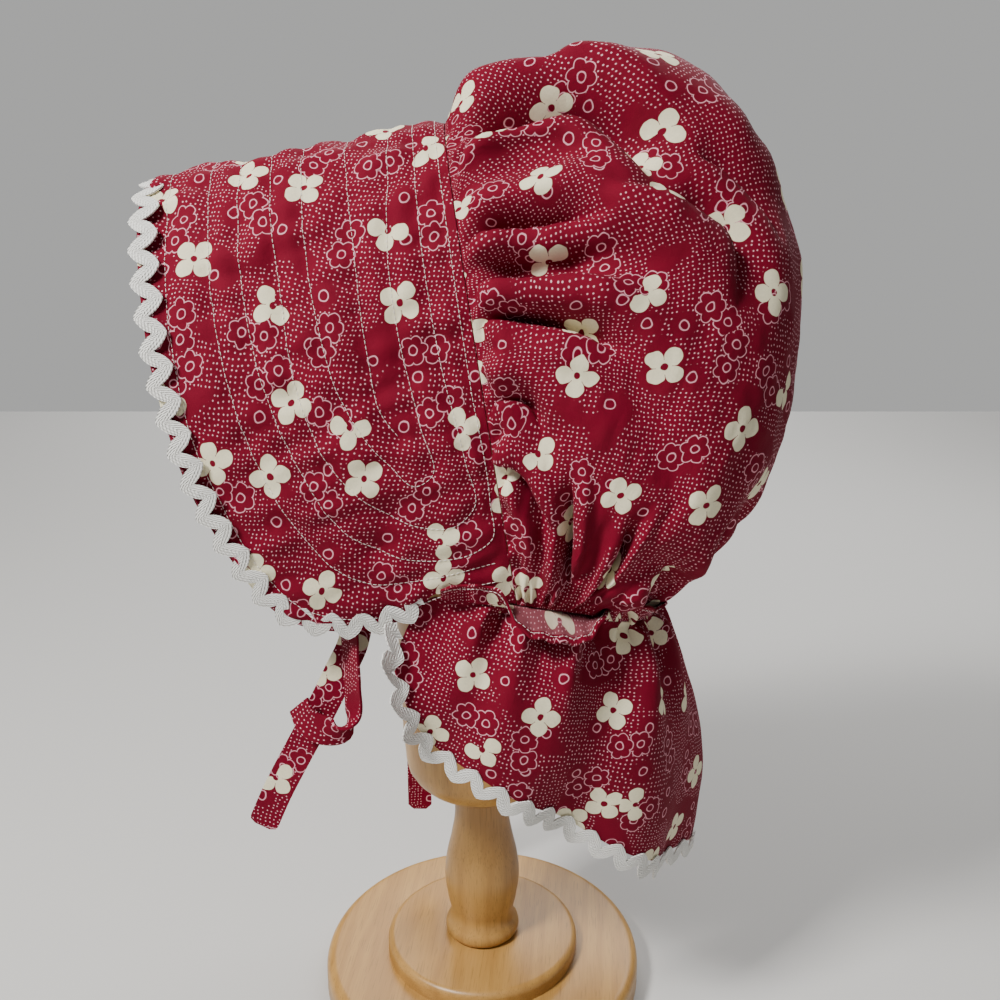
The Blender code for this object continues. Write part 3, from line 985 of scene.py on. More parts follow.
    def outlined_flowers(self, graph: Graph, drawn: Socket) -> tuple[Socket, Socket]:
        """Pairs of outlined flowers, the second over the first.

        Args:
            graph: The tree that the nodes go in.
            drawn: The flat cloth's coordinates.

        Returns:
            The masks of their lines and of the whole flowers.
        """
        local, draws = scatter(graph, drawn, self.outlines)
        turn = graph.math("MULTIPLY", draws[0], math.tau)
        way = graph.join(graph.math("COSINE", turn), graph.math("SINE", turn))
        away = graph.vector("SCALE", way, scale=self.outline_apart)
        lines, covered = None, None
        for sign in ("ADD", "SUBTRACT"):
            spot = graph.vector(sign, local, away)
            out, reach, _ = petals(graph, spot, turn, 6, self.outline_radius, self.outline_petal)
            whole = graph.math("MINIMUM", out, graph.math("SUBTRACT", reach, self.outline_heart))
            line = graph.below(graph.math("ABSOLUTE", whole), self.line_half, self.soft)
            off = graph.math("ABSOLUTE", graph.math("SUBTRACT", reach, self.outline_eye))
            line = graph.math("MAXIMUM", line, graph.below(off, self.line_half + 0.00005, self.soft))
            inside = graph.below(whole, 0.0004, 0.0003)
            if lines is None:
                lines, covered = line, inside
            else:
                under = graph.math("MULTIPLY", lines, graph.math("SUBTRACT", 1, inside))
                lines = graph.math("MAXIMUM", line, under)
                covered = graph.math("MAXIMUM", covered, inside)
        return lines, covered

    def weave_group(self) -> Nodes:
        """The node group for the height of the plain weave and of small crumples."""
        sockets = {"Cloth": "Vector", "Crumple": "Float"}
        tree, graph, given, leave = group("cotton_weave", sockets, {"Height": "Float"})
        x, y, _ = graph.split(given["Cloth"])
        across = graph.math("SINE", graph.math("MULTIPLY", x, math.tau / self.weave_pitch))
        along = graph.math("SINE", graph.math("MULTIPLY", y, math.tau / self.weave_pitch))
        thread = graph.math("MULTIPLY", graph.math("MULTIPLY", across, along), self.relief[0])
        slub = graph.math("MULTIPLY", graph.noise(given["Cloth"], 1400, 2), self.relief[1])
        crumple = graph.math("MULTIPLY", graph.noise(given["Cloth"], 130, 3), given["Crumple"])
        height = graph.math("ADD", graph.math("ADD", thread, slub), crumple)
        graph.feed(leave.inputs["Height"], height)
        return tree


@dataclass
class Cottons:
    """Makes the cloth's materials, which share the print and the weave."""

    calico: Calico = field(default_factory=Calico)

    def __post_init__(self) -> None:
        """Builds the two groups once."""
        self.print_tree = self.calico.print_group()
        self.weave_tree = self.calico.weave_group()

    def cloth(
        self,
        name: str,
        turn: float,
        shift: tuple[float, float],
        wrong_side: bool = False,
        crumple: float = 1.0,
        hem_from: float = 0.0,
    ) -> bpy.types.Material:
        """A printed cotton.

        Args:
            name: The material's name.
            turn: How far the print is turned on the piece, in radians.
            shift: Where the print starts, in metres.
            wrong_side: Whether it is the paler back of the cloth.
            crumple: Height of the small crumples.
            hem_from: Where a hem is turned over the wrong side, in metres down the flat cloth.

        Returns:
            The material.
        """
        made, graph, shader = started(name)
        place = graph.add("ShaderNodeMapping")
        cloth = graph.add("ShaderNodeUVMap", uv_map="cloth").outputs[0]
        graph.feed(place.inputs["Vector"], cloth)
        place.inputs["Location"].default_value = (*shift, 0)
        place.inputs["Rotation"].default_value = (0, 0, turn)
        ink = graph.add("ShaderNodeGroup", node_tree=self.print_tree)
        graph.feed(ink.inputs["Cloth"], place.outputs[0])
        colour = ink.outputs["Colour"]
        if wrong_side:
            pale = graph.mix(self.calico.pale_share, colour, (*self.calico.pale, 1))
            if hem_from:
                hem = graph.math("GREATER_THAN", graph.split(cloth)[1], hem_from)
                pale = graph.mix(hem, pale, colour)
            colour = pale
        graph.feed(shader.inputs["Base Color"], colour)
        weave = graph.add("ShaderNodeGroup", node_tree=self.weave_tree)
        graph.feed(weave.inputs["Cloth"], place.outputs[0])
        weave.inputs["Crumple"].default_value = crumple
        graph.bump(shader, weave.outputs["Height"], 0.55, 0.0009)
        shader.inputs["Roughness"].default_value = self.calico.roughness
        shader.inputs["Specular IOR Level"].default_value = 0.14
        shader.inputs["Sheen Weight"].default_value = 0.015
        shader.inputs["Sheen Roughness"].default_value = 0.45
        return made


@dataclass(frozen=True)
class Rickrack:
    """White woven zigzag braid.

    Attributes:
        colour: Its threads.
        painted_hollow_shade: Painted shade in the hollows between them, where the threads lie low.
        roughness: Its roughness.
        rib: From one slanting thread to the next.
        cross: From one crossing thread to the next.
        slant: How much the threads slant.
    """

    colour: Colour = (0.90, 0.89, 0.85)
    painted_hollow_shade: Colour = (0.70, 0.69, 0.65)
    roughness: float = 0.72
    rib: float = 0.00125
    cross: float = 0.0013
    slant: float = 0.9

    def material(self, name: str) -> bpy.types.Material:
        """The braid's material, with its slanting threads and painted shade in their hollows.

        Args:
            name: Its name.

        Returns:
            The material.
        """
        made, graph, shader = started(name)
        x, y, _ = graph.split(graph.add("ShaderNodeUVMap", uv_map="cloth").outputs[0])
        lean = graph.math("MULTIPLY", graph.math("ABSOLUTE", y), self.slant)
        rib = graph.math("SINE", graph.math("MULTIPLY", graph.math("ADD", x, lean), math.tau / self.rib))
        cross = graph.math("SINE", graph.math("MULTIPLY", y, math.tau / self.cross))
        height = graph.math("ADD", graph.math("MULTIPLY", rib, 0.5), graph.math("MULTIPLY", cross, 0.35))
        # Painted shade: the white is mixed towards a darker white where the threads lie low, in the hollows
        # between them.
        dark = graph.math("MULTIPLY_ADD", height, 0.5, 0.55, clamp=True)
        graph.feed(shader.inputs["Base Color"], graph.mix(dark, (*self.painted_hollow_shade, 1), (*self.colour, 1)))
        graph.bump(shader, height, 0.7, 0.0005)
        shader.inputs["Roughness"].default_value = self.roughness
        shader.inputs["Sheen Weight"].default_value = 0.1
        return made


@dataclass(frozen=True)
class Zigzag:
    """The rickrack's own shape.

    Attributes:
        wide: Width of the braid.
        swing: How far its middle line swings to each side.
        pitch: Length of a wave.
        inset: How far its middle line lies in from the edge of the cloth.
        steps: Points to a wave.
        cells: Cells across its width.
        wall: Thickness.
        dome: How much its middle stands over its edges.
        tips: Share of the wave that is straight-sided, so that the tips are pointed.
        lean: How far its edges run ahead of its middle on the slopes, as a share of the width.
        uneven: How far the waves differ.
        curl: How high its edges lift off the cloth here and there.
        probe: Step of shares over which the cloth's slope is read.
    """

    wide: float = 0.0068
    swing: float = 0.0042
    pitch: float = 0.0155
    inset: float = 0.0034
    steps: int = 16
    cells: int = 6
    wall: float = 0.0008
    dome: float = 0.00015
    tips: float = 0.85
    lean: float = 0.24
    uneven: float = 0.10
    curl: float = 0.00035
    probe: float = 0.02

    def swings(self, phase: Array) -> Array:
        """How far the middle line swings at each phase, -1 to 1."""
        straight = np.arcsin(0.985 * np.sin(phase)) * 2 / math.pi
        return self.tips * straight + (1 - self.tips) * np.sin(phase)

    def sew(self, name: str, edge: Array, lay: Lay, finish: bpy.types.Material) -> bpy.types.Object:
        """Makes a band of rickrack along an edge.

        Args:
            name: The piece's name.
            edge: Shares across and down along the edge, a row for each point.
            lay: The cloth that it is sewn to.
            finish: Its material.

        Returns:
            The finished object.
        """
        line = lay.at(edge[:, 0], edge[:, 1])
        run = run_along(line)
        waves = round(run[-1] / self.pitch)
        stops = np.linspace(0, run[-1], waves * self.steps + 1)
        a, b = (np.interp(stops, run, edge[:, i]) for i in range(2))
        ahead = unit(np.gradient(lay.at(a, b), axis=0))
        probe_a, probe_b = np.clip(a, -0.94, 0.94), np.minimum(b, 0.96)
        normal = lay.normal_at(probe_a, probe_b, MIDDLE, 0.03)
        side_on = (np.sign(a) * ease((np.abs(a) - 0.90) / 0.08))[:, None]
        normal = unit(normal + side_on * np.array([0.6, 0.0, 0.0]))
        normal = unit(normal - ahead * np.sum(normal * ahead, axis=1, keepdims=True))
        inward = unit(np.cross(ahead, normal))
        phase = math.tau * waves * np.linspace(0, 1, len(stops))
        probe = self.probe
        along_a = (lay.at(probe_a + probe, probe_b) - lay.at(probe_a - probe, probe_b)) / (2 * probe)
        along_b = (lay.at(probe_a, probe_b + probe) - lay.at(probe_a, probe_b - probe)) / (2 * probe)
        uneven = 1 + self.uneven * crumple(stops, 0 * stops, 0.011, 31)
        rails = []
        for side in np.linspace(-1, 1, self.cells + 1):
            off = self.inset + self.swing * uneven * self.swings(phase) + side * self.wide / 2
            shares = [
                np.linalg.lstsq(np.array([at_a, at_b]).T, way, rcond=None)[0] * far
                for at_a, at_b, way, far in zip(along_a, along_b, inward, np.maximum(off, 0))
            ]
            step = np.array(shares)
            spots = lay.at(a + step[:, 0], b + step[:, 1]) + inward * np.minimum(off, 0)[:, None]
            spots += ahead * (side * -np.cos(phase) * self.wide * self.lean)[:, None]
            curl = self.curl * crumple(stops, stops * 0 + side * 0.003, 0.0045, 32)
            rise = BRAID_LIFT + self.wall + self.dome * (1 - side**2) + np.maximum(curl, 0)
            rails.append(spots + normal * rise[:, None])
        cloth = Lay(np.array(rails), np.linspace(0, 1, len(stops)), np.linspace(-1, 1, self.cells + 1))
        return grid_piece(
            name, cloth, lambda u, v: (u * run[-1], v * self.wide / 2), self.wall, -1, [finish]
        )


@dataclass(frozen=True)
class Thread:
    """Topstitching in white thread.

    Attributes:
        pitch: From one stitch to the next.
        drawn: Share of the pitch that a stitch fills.
        half_wide: Half a stitch's width.
        half_high: Half its height.
        colour: The thread's colour.
    """

    pitch: float = 0.0025
    drawn: float = 0.84
    half_wide: float = 0.00019
    half_high: float = 0.00020
    colour: Colour = (0.84, 0.79, 0.75)

    def sew(
        self, name: str, lines: Sequence[Array], lay: Lay, finish: bpy.types.Material, back: float = 0.0
    ) -> bpy.types.Object:
        """Makes rows of stitches that lie on a cloth.

        Args:
            name: The piece's name.
            lines: Shares across and down along each row, close together.
            lay: The cloth's outer face.
            finish: The thread's material.
            back: Thickness of the cloth where the stitches lie on its other face, else 0.

        Returns:
            The finished object, all its stitches joined.
        """
        bm = bmesh.new()
        for line in lines:
            spots = lay.at(line[:, 0], line[:, 1])
            run = run_along(spots)
            starts = np.arange(int(run[-1] / self.pitch)) * self.pitch
            ends = [
                [np.interp(starts + part * self.pitch, run, line[:, i]) for i in (0, 1)]
                for part in (0.06, 0.06 + self.drawn)
            ]
            first, last = (lay.at(*pair) for pair in ends)
            up = lay.normal_at(*ends[0], MIDDLE, 0.01) * (-1 if back else 1)
            for a, b, top in zip(first, last, up):
                along = b - a
                size = float(np.linalg.norm(along))
                x = along / size
                z = unit(top - x * np.dot(x, top))
                y = np.cross(z, x)
                middle = (a + b) / 2 + z * (back + 0.6 * self.half_high)
                axes = (x * size * 0.54, y * self.half_wide, z * self.half_high, middle)
                turn = Matrix([[axis[i] for axis in axes] for i in range(3)] + [[0, 0, 0, 1]])
                bmesh.ops.create_icosphere(bm, subdivisions=1, radius=1.0, matrix=turn)
        obj = placed(bm, name)
        obj.data.materials.append(finish)
        obj.data.shade_smooth()
        return obj


@dataclass
class Trims:
    """The braid and the thread, with their materials."""

    zigzag: Zigzag = field(default_factory=Zigzag)
    thread: Thread = field(default_factory=Thread)
    rickrack: Rickrack = field(default_factory=Rickrack)

    def __post_init__(self) -> None:
        """Makes the thread's material once."""
        self.thread_finish = simple("white_thread", self.thread.colour, 0.7)

    def braid(self, name: str, edge: Array, lay: Lay) -> bpy.types.Object:
        """A band of rickrack with a material of its own."""
        return self.zigzag.sew(name, edge, lay, self.rickrack.material(f"{name}_cotton"))

    def stitches(self, name: str, lines: Sequence[Array], lay: Lay, back: float = 0.0) -> bpy.types.Object:
        """Rows of white topstitching."""
        return self.thread.sew(name, lines, lay, self.thread_finish, back)


def round_edge(side: Array, pieces: int) -> Array:
    """An edge that goes down one side, along the far end and back up the other side.

    Args:
        side: Shares across and down along the left side, ending at the corner.
        pieces: Points along the far end.

    Returns:
        Shares across and down along the whole edge.
    """
    end = np.linspace(side[-1][0], -side[-1][0], pieces)[1:-1]
    return np.concatenate([side, np.stack([end, end * 0 + side[-1][1]], -1), (side * (-1, 1))[::-1]])


@dataclass(frozen=True)
class PaleWood:
    """Light, fine-grained turned wood with a satin finish.

    Attributes:
        light: Its palest tone.
        dark: Its darkest tone.
        roughness: Its roughness under the coat.
        coat: Weight of the clear coat.
        bands: How fine the growth rings' bands are, along the grain and across it.
        fibres: How fine the fibres are.
        pores: How fine the pores are.
    """

    light: Colour = (0.56, 0.315, 0.090)
    dark: Colour = (0.34, 0.165, 0.040)
    roughness: float = 0.38
    coat: float = 0.06
    bands: tuple[float, float, float] = (5.0, 55.0, 55.0)
    fibres: tuple[float, float, float] = (26.0, 900.0, 900.0)
    pores: tuple[float, float, float] = (60.0, 1500.0, 1500.0)

    def grain_group(self) -> Nodes:
        """The node group for the grain's colour and relief, along the X axis of its vector."""
        sockets = {"Colour": "Color", "Height": "Float"}
        tree, graph, given, leave = group("wood_grain", {"Place": "Vector"}, sockets)
        broad = graph.noise(graph.vector("MULTIPLY", given["Place"], self.bands), 1.0, 4)
        fine = graph.noise(graph.vector("MULTIPLY", given["Place"], self.fibres), 1.0, 3)
        bands = graph.math("MULTIPLY_ADD", graph.math("SINE", graph.math("MULTIPLY", broad, 26.0)), 0.5, 0.5)
        tone = graph.math("ADD", graph.math("MULTIPLY", bands, 0.42), graph.math("MULTIPLY", fine, 0.62))
        colour = graph.mix(graph.math("MULTIPLY", tone, 0.8, clamp=True), (*self.light, 1), (*self.dark, 1))
        pore = graph.noise(graph.vector("MULTIPLY", given["Place"], self.pores), 1.0, 1)
        pore = graph.math("MULTIPLY", graph.below(pore, 0.36, 0.04), 0.35)
        colour = graph.mix(pore, colour, (*(c * 0.45 for c in self.dark), 1))
        graph.feed(leave.inputs["Colour"], colour)
        graph.feed(leave.inputs["Height"], fine)
        return tree

    def material(self, name: str, tree: Nodes, turn: tuple[float, float, float]) -> bpy.types.Material:
        """A wood whose grain runs along X before it is turned.

        Args:
            name: The material's name.
            tree: The grain's node group.
            turn: How the grain is turned, in radians.

        Returns:
            The material.
        """
        made, graph, shader = started(name)
        place = graph.add("ShaderNodeMapping")
        graph.feed(place.inputs["Vector"], graph.add("ShaderNodeTexCoord").outputs["Object"])
        place.inputs["Rotation"].default_value = turn
        grain = graph.add("ShaderNodeGroup", node_tree=tree)
        graph.feed(grain.inputs["Place"], place.outputs[0])
        graph.feed(shader.inputs["Base Color"], grain.outputs["Colour"])
        graph.bump(shader, grain.outputs["Height"], 0.12, 0.0004)
        shader.inputs["Roughness"].default_value = self.roughness
        shader.inputs["Coat Weight"].default_value = self.coat
        shader.inputs["Coat Roughness"].default_value = 0.3
        return made


@dataclass
class Stand:
    """The turned hat stand: base, column and plain rounded top."""

    base_radius: float = 0.095
    base_height: float = 0.020
    step_radius: float = 0.0576
    step_height: float = 0.010
    foot_cut: float = 0.003
    base_corner: float = 0.006
    step_corner: float = 0.004
    steps: int = 112
    column_rows: tuple[Turn, ...] = (
        Turn(0.0200, 0.0303),
        Turn(0.0219, 0.0325),
        Turn(0.0219, 0.0365),
        Turn(0.0198, 0.0405),
        Turn(0.0190, 0.0444),
        Turn(0.0205, 0.0540),
        Turn(0.0223, 0.0685),
        Turn(0.0212, 0.0820),
        Turn(0.0182, 0.0960),
        Turn(0.0162, 0.1080),
        Turn(0.0158, 0.1220),
    )
    top_rows: tuple[Turn, ...] = (
        Turn(0.0158, 0.1224),
        Turn(0.0262, 0.1290),
        Turn(0.0373, 0.1363),
        Turn(0.0425, 0.1437),
        Turn(0.0442, 0.1557),
        Turn(0.0455, 0.2000),
        Turn(0.0490, 0.2700),
        Turn(0.0520, 0.3500),
        Turn(0.0515, 0.4150),
        Turn(0.0465, 0.4450),
        Turn(0.0372, 0.4695),
        Turn(0.0250, 0.4848),
        Turn(0.0120, 0.4915),
        Turn(0.0040, 0.4933),
    )

    def rounded(self, radius: float, height: float, corner: float) -> list[Turn]:
        """Rows of a round-over at the top of a disc.

        Args:
            radius: The disc's radius.
            height: Height of its top.
            corner: Radius of the round-over.

        Returns:
            The rows, from the side to the top.
        """
        turns = np.radians(np.linspace(0, 90, 9))
        return [
            Turn(radius - corner + corner * math.cos(a), height - corner + corner * math.sin(a))
            for a in turns
        ]

    def finer(self, rows: Sequence[Turn], pieces: int) -> list[Turn]:
        """A smooth profile through a short table.

        Args:
            rows: The table.
            pieces: Pieces that the profile is divided into.

        Returns:
            The profile's rows.
        """
        radii, heights = column(rows, "radius"), column(rows, "height")
        run = np.concatenate([[0], np.cumsum(np.hypot(np.diff(radii), np.diff(heights)))])
        at = np.linspace(0, run[-1], pieces + 1)
        return [Turn(*pair) for pair in zip(smooth(at, run, radii), smooth(at, run, heights))]

    def turned(
        self, name: str, rows: Sequence[Turn], finish: bpy.types.Material
    ) -> bpy.types.Object:
        """A solid turned on the Z axis.

        Args:
            name: The piece's name.
            rows: Its profile, up its outer side.
            finish: Its material.

        Returns:
            The finished object.
        """
        bm = bmesh.new()
        ends = [Turn(0, rows[0].height), *rows, Turn(0, rows[-1].height)]
        verts = [bm.verts.new((turn.radius, 0, turn.height)) for turn in ends]
        edges = [bm.edges.new(pair) for pair in zip(verts, verts[1:])]
        bmesh.ops.spin(
            bm,
            geom=verts + edges,
            cent=(0, 0, 0),
            axis=(0, 0, 1),
            angle=math.tau,
            steps=self.steps,
            use_merge=True,
        )
        bmesh.ops.remove_doubles(bm, verts=bm.verts, dist=1e-6)
        bmesh.ops.recalc_face_normals(bm, faces=bm.faces)
        obj = placed(bm, name)
        obj.data.materials.append(finish)
        obj.data.shade_smooth()
        obj.data.set_sharp_from_angle(angle=SHARP_TURNING)
        return obj

    def build(self) -> None:
        """Makes the three pieces."""
        wood = PaleWood()
        grain = wood.grain_group()
        base = [Turn(self.base_radius - self.foot_cut, 0.0), Turn(self.base_radius, self.foot_cut)]
        base += self.rounded(self.base_radius, self.base_height, self.base_corner)
        base += [Turn(self.step_radius, self.base_height)]
        base += self.rounded(self.step_radius, self.base_height + self.step_height, self.step_corner)
        upright = (0, math.radians(90), 0)
        level = (0, 0, math.radians(5))
        for name, rows, lie in (
            ("base", base, level),
            ("column", self.finer(self.column_rows, 60), upright),
            ("top", self.finer(self.top_rows, 70), upright),
        ):
            piece = self.turned(f"{name}_turned", rows, wood.material(f"{name}_wood", grain, lie))
            settle(piece, f"stand_{name}", f"stand_{name}")


@dataclass
class Tie:
    """A flat cotton tie along a smooth line."""

    side: Side
    rows: list[Strip]
    width: float = 0.0155
    corner: float = 0.0035
    cells: int = 8

    def lay(self, pieces: int) -> tuple[Lay, float]:
        """The strip's middle surface.

        Args:
            pieces: Pieces that its length is divided into.

        Returns:
            The surface, across its width and down its length, and its length.
        """
        table = np.array(self.rows, float)
        run = run_along(table[:, :3])
        at = np.linspace(0, run[-1], pieces + 1)
        spots = np.stack([smooth(at, run, table[:, i]) for i in (0, 1, 2)], -1)
        widths = np.stack([smooth(at, run, table[:, i]) for i in (3, 4, 5)], -1)
        ahead = unit(np.gradient(spots, axis=0))
        widths = unit(widths - ahead * np.sum(widths * ahead, axis=1, keepdims=True))
        across = np.linspace(-1, 1, self.cells + 1)
        left = np.minimum(run[-1] - at, self.corner)
        half = self.width / 2 - self.corner + np.sqrt(self.corner**2 - (self.corner - left) ** 2)
        grid = spots[:, None] + widths[:, None] * (across[None, :] * half[:, None])[..., None]
        return Lay(grid, across, at / run[-1]), float(run[-1])

    def build(self, pieces: int, finish: bpy.types.Material) -> None:
        """Makes the tie, rides it on the body and hides the solid that it stands for.

        Args:
            pieces: Pieces that its length is divided into.
            finish: Its material.
        """
        lay, length = self.lay(pieces)
        name = f"tie_{self.side.value}"
        obj = grid_piece(
            f"{name}_cloth", lay, lambda u, v: (u * self.width / 2, v * length), CLOTH_WALL, 0, [finish]
        )
        settle(obj, name, name)


LEFT_TIE = [
    Strip(0.0670, -0.0905, 0.2130, 0.15, 0.50, 0.85),
    Strip(0.0715, -0.0870, 0.2075, 0.10, 0.45, 0.90),
    Strip(0.0750, -0.0775, 0.2030, 0.00, 0.30, 1.00),
    Strip(0.0760, -0.0685, 0.2030, 0.35, 0.00, 0.93),
    Strip(0.0750, -0.0630, 0.2110, 0.75, 0.55, 0.25),
    Strip(0.0740, -0.0620, 0.2290, 0.80, 0.60, 0.00),
    Strip(0.0700, -0.0630, 0.2462, 0.80, 0.60, 0.00),
    Strip(0.0666, -0.0630, 0.2590, 0.72, 0.68, 0.00),
    Strip(0.0645, -0.0620, 0.2650, 0.50, 0.85, 0.00),
    Strip(0.0615, -0.0605, 0.2610, 0.25, 0.95, 0.00),
    Strip(0.0615, -0.0620, 0.2470, 0.20, 0.97, 0.00),
    Strip(0.0630, -0.0705, 0.2280, 0.12, 1.00, 0.00),
    Strip(0.0645, -0.0800, 0.2090, 0.10, 1.00, 0.00),
    Strip(0.0655, -0.0930, 0.1850, 0.10, 1.00, 0.00),
    Strip(0.0665, -0.1045, 0.1630, 0.10, 1.00, 0.00),
    Strip(0.0670, -0.1130, 0.1440, 0.10, 1.00, 0.00),
]
RIGHT_TIE = [
    Strip(-0.0728, -0.042, 0.2700, 0.10, 0.99, 0.00),
    Strip(-0.0728, -0.042, 0.2520, 0.10, 0.99, 0.00),
    Strip(-0.0715, -0.042, 0.2250, 0.08, 1.00, 0.00),
    Strip(-0.0705, -0.043, 0.1850, 0.05, 1.00, 0.00),
    Strip(-0.0700, -0.043, 0.1450, 0.03, 1.00, 0.00),
    Strip(-0.0700, -0.043, 0.1050, 0.00, 1.00, 0.00),
    Strip(-0.0700, -0.043, 0.0680, 0.00, 1.00, 0.00),
]


class Lamp(NamedTuple):
    """A soft studio light. One with a spread, in degrees, shines straight down on the floor."""

    name: str
    place: tuple[float, float, float]
    size: float
    watts: float
    colour: Colour
    spread: float = 0.0


@dataclass
class Studio:
    """The floor, the lights and the camera.

    Attributes:
        aim: What the lamps over the bonnet look at.
        sky: Strength of the even light from all round.
        backdrop: Strength of the plain ground that the camera sees.
        floor: Half the floor's width.
        floor_tone: The floor's colour.
        lens: The camera's lens and the width of its picture, in millimetres.
        stance: Where the camera stands.
        tilt: How far it looks up from straight down, in degrees.
    """

    aim: tuple[float, float, float] = (0.0, 0.0, 0.32)
    sky: float = 0.065
    sky_tone: Colour = (0.93, 0.94, 0.96)
    backdrop: float = 0.55
    backdrop_tone: Colour = (0.80, 0.80, 0.79)
    floor: float = 2.0
    floor_tone: Colour = (0.60, 0.59, 0.57)
    lens: tuple[float, float] = (36, 36)
    stance: tuple[float, float, float] = (0.527, 0.0108, 0.443)
    tilt: float = 75
    lamps: tuple[Lamp, ...] = (
        Lamp("key", (0.64, -0.76, 1.34), 0.32, 33.0, (1.0, 0.985, 0.96)),
        Lamp("fill", (1.3, 0.9, 0.90), 1.2, 0.8, (0.95, 0.97, 1.0)),
        Lamp("back", (-0.9, 0.7, 1.3), 0.8, 12.0, (1.0, 1.0, 1.0)),
        Lamp("far_floor", (-2.6, 0.0, 2.4), 2.0, 62.0, (1.0, 1.0, 1.0), 150),
        Lamp("near_floor", (2.5, 0.0, 2.4), 1.5, 34.0, (1.0, 1.0, 1.0), 90),
    )

    def build(self) -> None:
        """Makes them."""
        bm = bmesh.new()
        bmesh.ops.create_grid(bm, x_segments=1, y_segments=1, size=self.floor)
        floor = placed(bm, "floor")
        floor.data.materials.append(simple("pale_floor", self.floor_tone, 0.9))
        for lamp in self.lamps:
            data = bpy.data.lights.new(lamp.name, "AREA")
            data.energy, data.size, data.color = lamp.watts, lamp.size, lamp.colour
            obj = bpy.data.objects.new(lamp.name, data)
            obj.location = lamp.place
            aim = Vector(self.aim)
            if lamp.spread:
                aim = obj.location - Vector((0, 0, 1))
                data.spread = math.radians(lamp.spread)
            obj.rotation_euler = (aim - obj.location).to_track_quat("-Z", "Y").to_euler()
            bpy.context.scene.collection.objects.link(obj)
        world = bpy.data.worlds.new("studio")
        world.use_nodes = True
        graph = Graph(world.node_tree)
        light = world.node_tree.nodes["Background"]
        light.inputs[0].default_value = (*self.sky_tone, 1)
        light.inputs[1].default_value = self.sky
        seen = graph.add("ShaderNodeBackground")
        seen.inputs[0].default_value = (*self.backdrop_tone, 1)
        seen.inputs[1].default_value = self.backdrop
        either = graph.add("ShaderNodeMixShader")
        graph.feed(either.inputs[0], graph.add("ShaderNodeLightPath").outputs["Is Camera Ray"])
        graph.feed(either.inputs[1], light.outputs[0])
        graph.feed(either.inputs[2], seen.outputs[0])
        graph.feed(world.node_tree.nodes["World Output"].inputs["Surface"], either.outputs[0])
        bpy.context.scene.world = world
        camera = bpy.data.objects.new("camera", bpy.data.cameras.new("camera"))
        camera.data.lens, camera.data.sensor_width = self.lens
        camera.location = self.stance
        camera.rotation_euler = (math.radians(self.tilt), 0, math.radians(90))
        bpy.context.scene.collection.objects.link(camera)
        bpy.context.scene.camera = camera


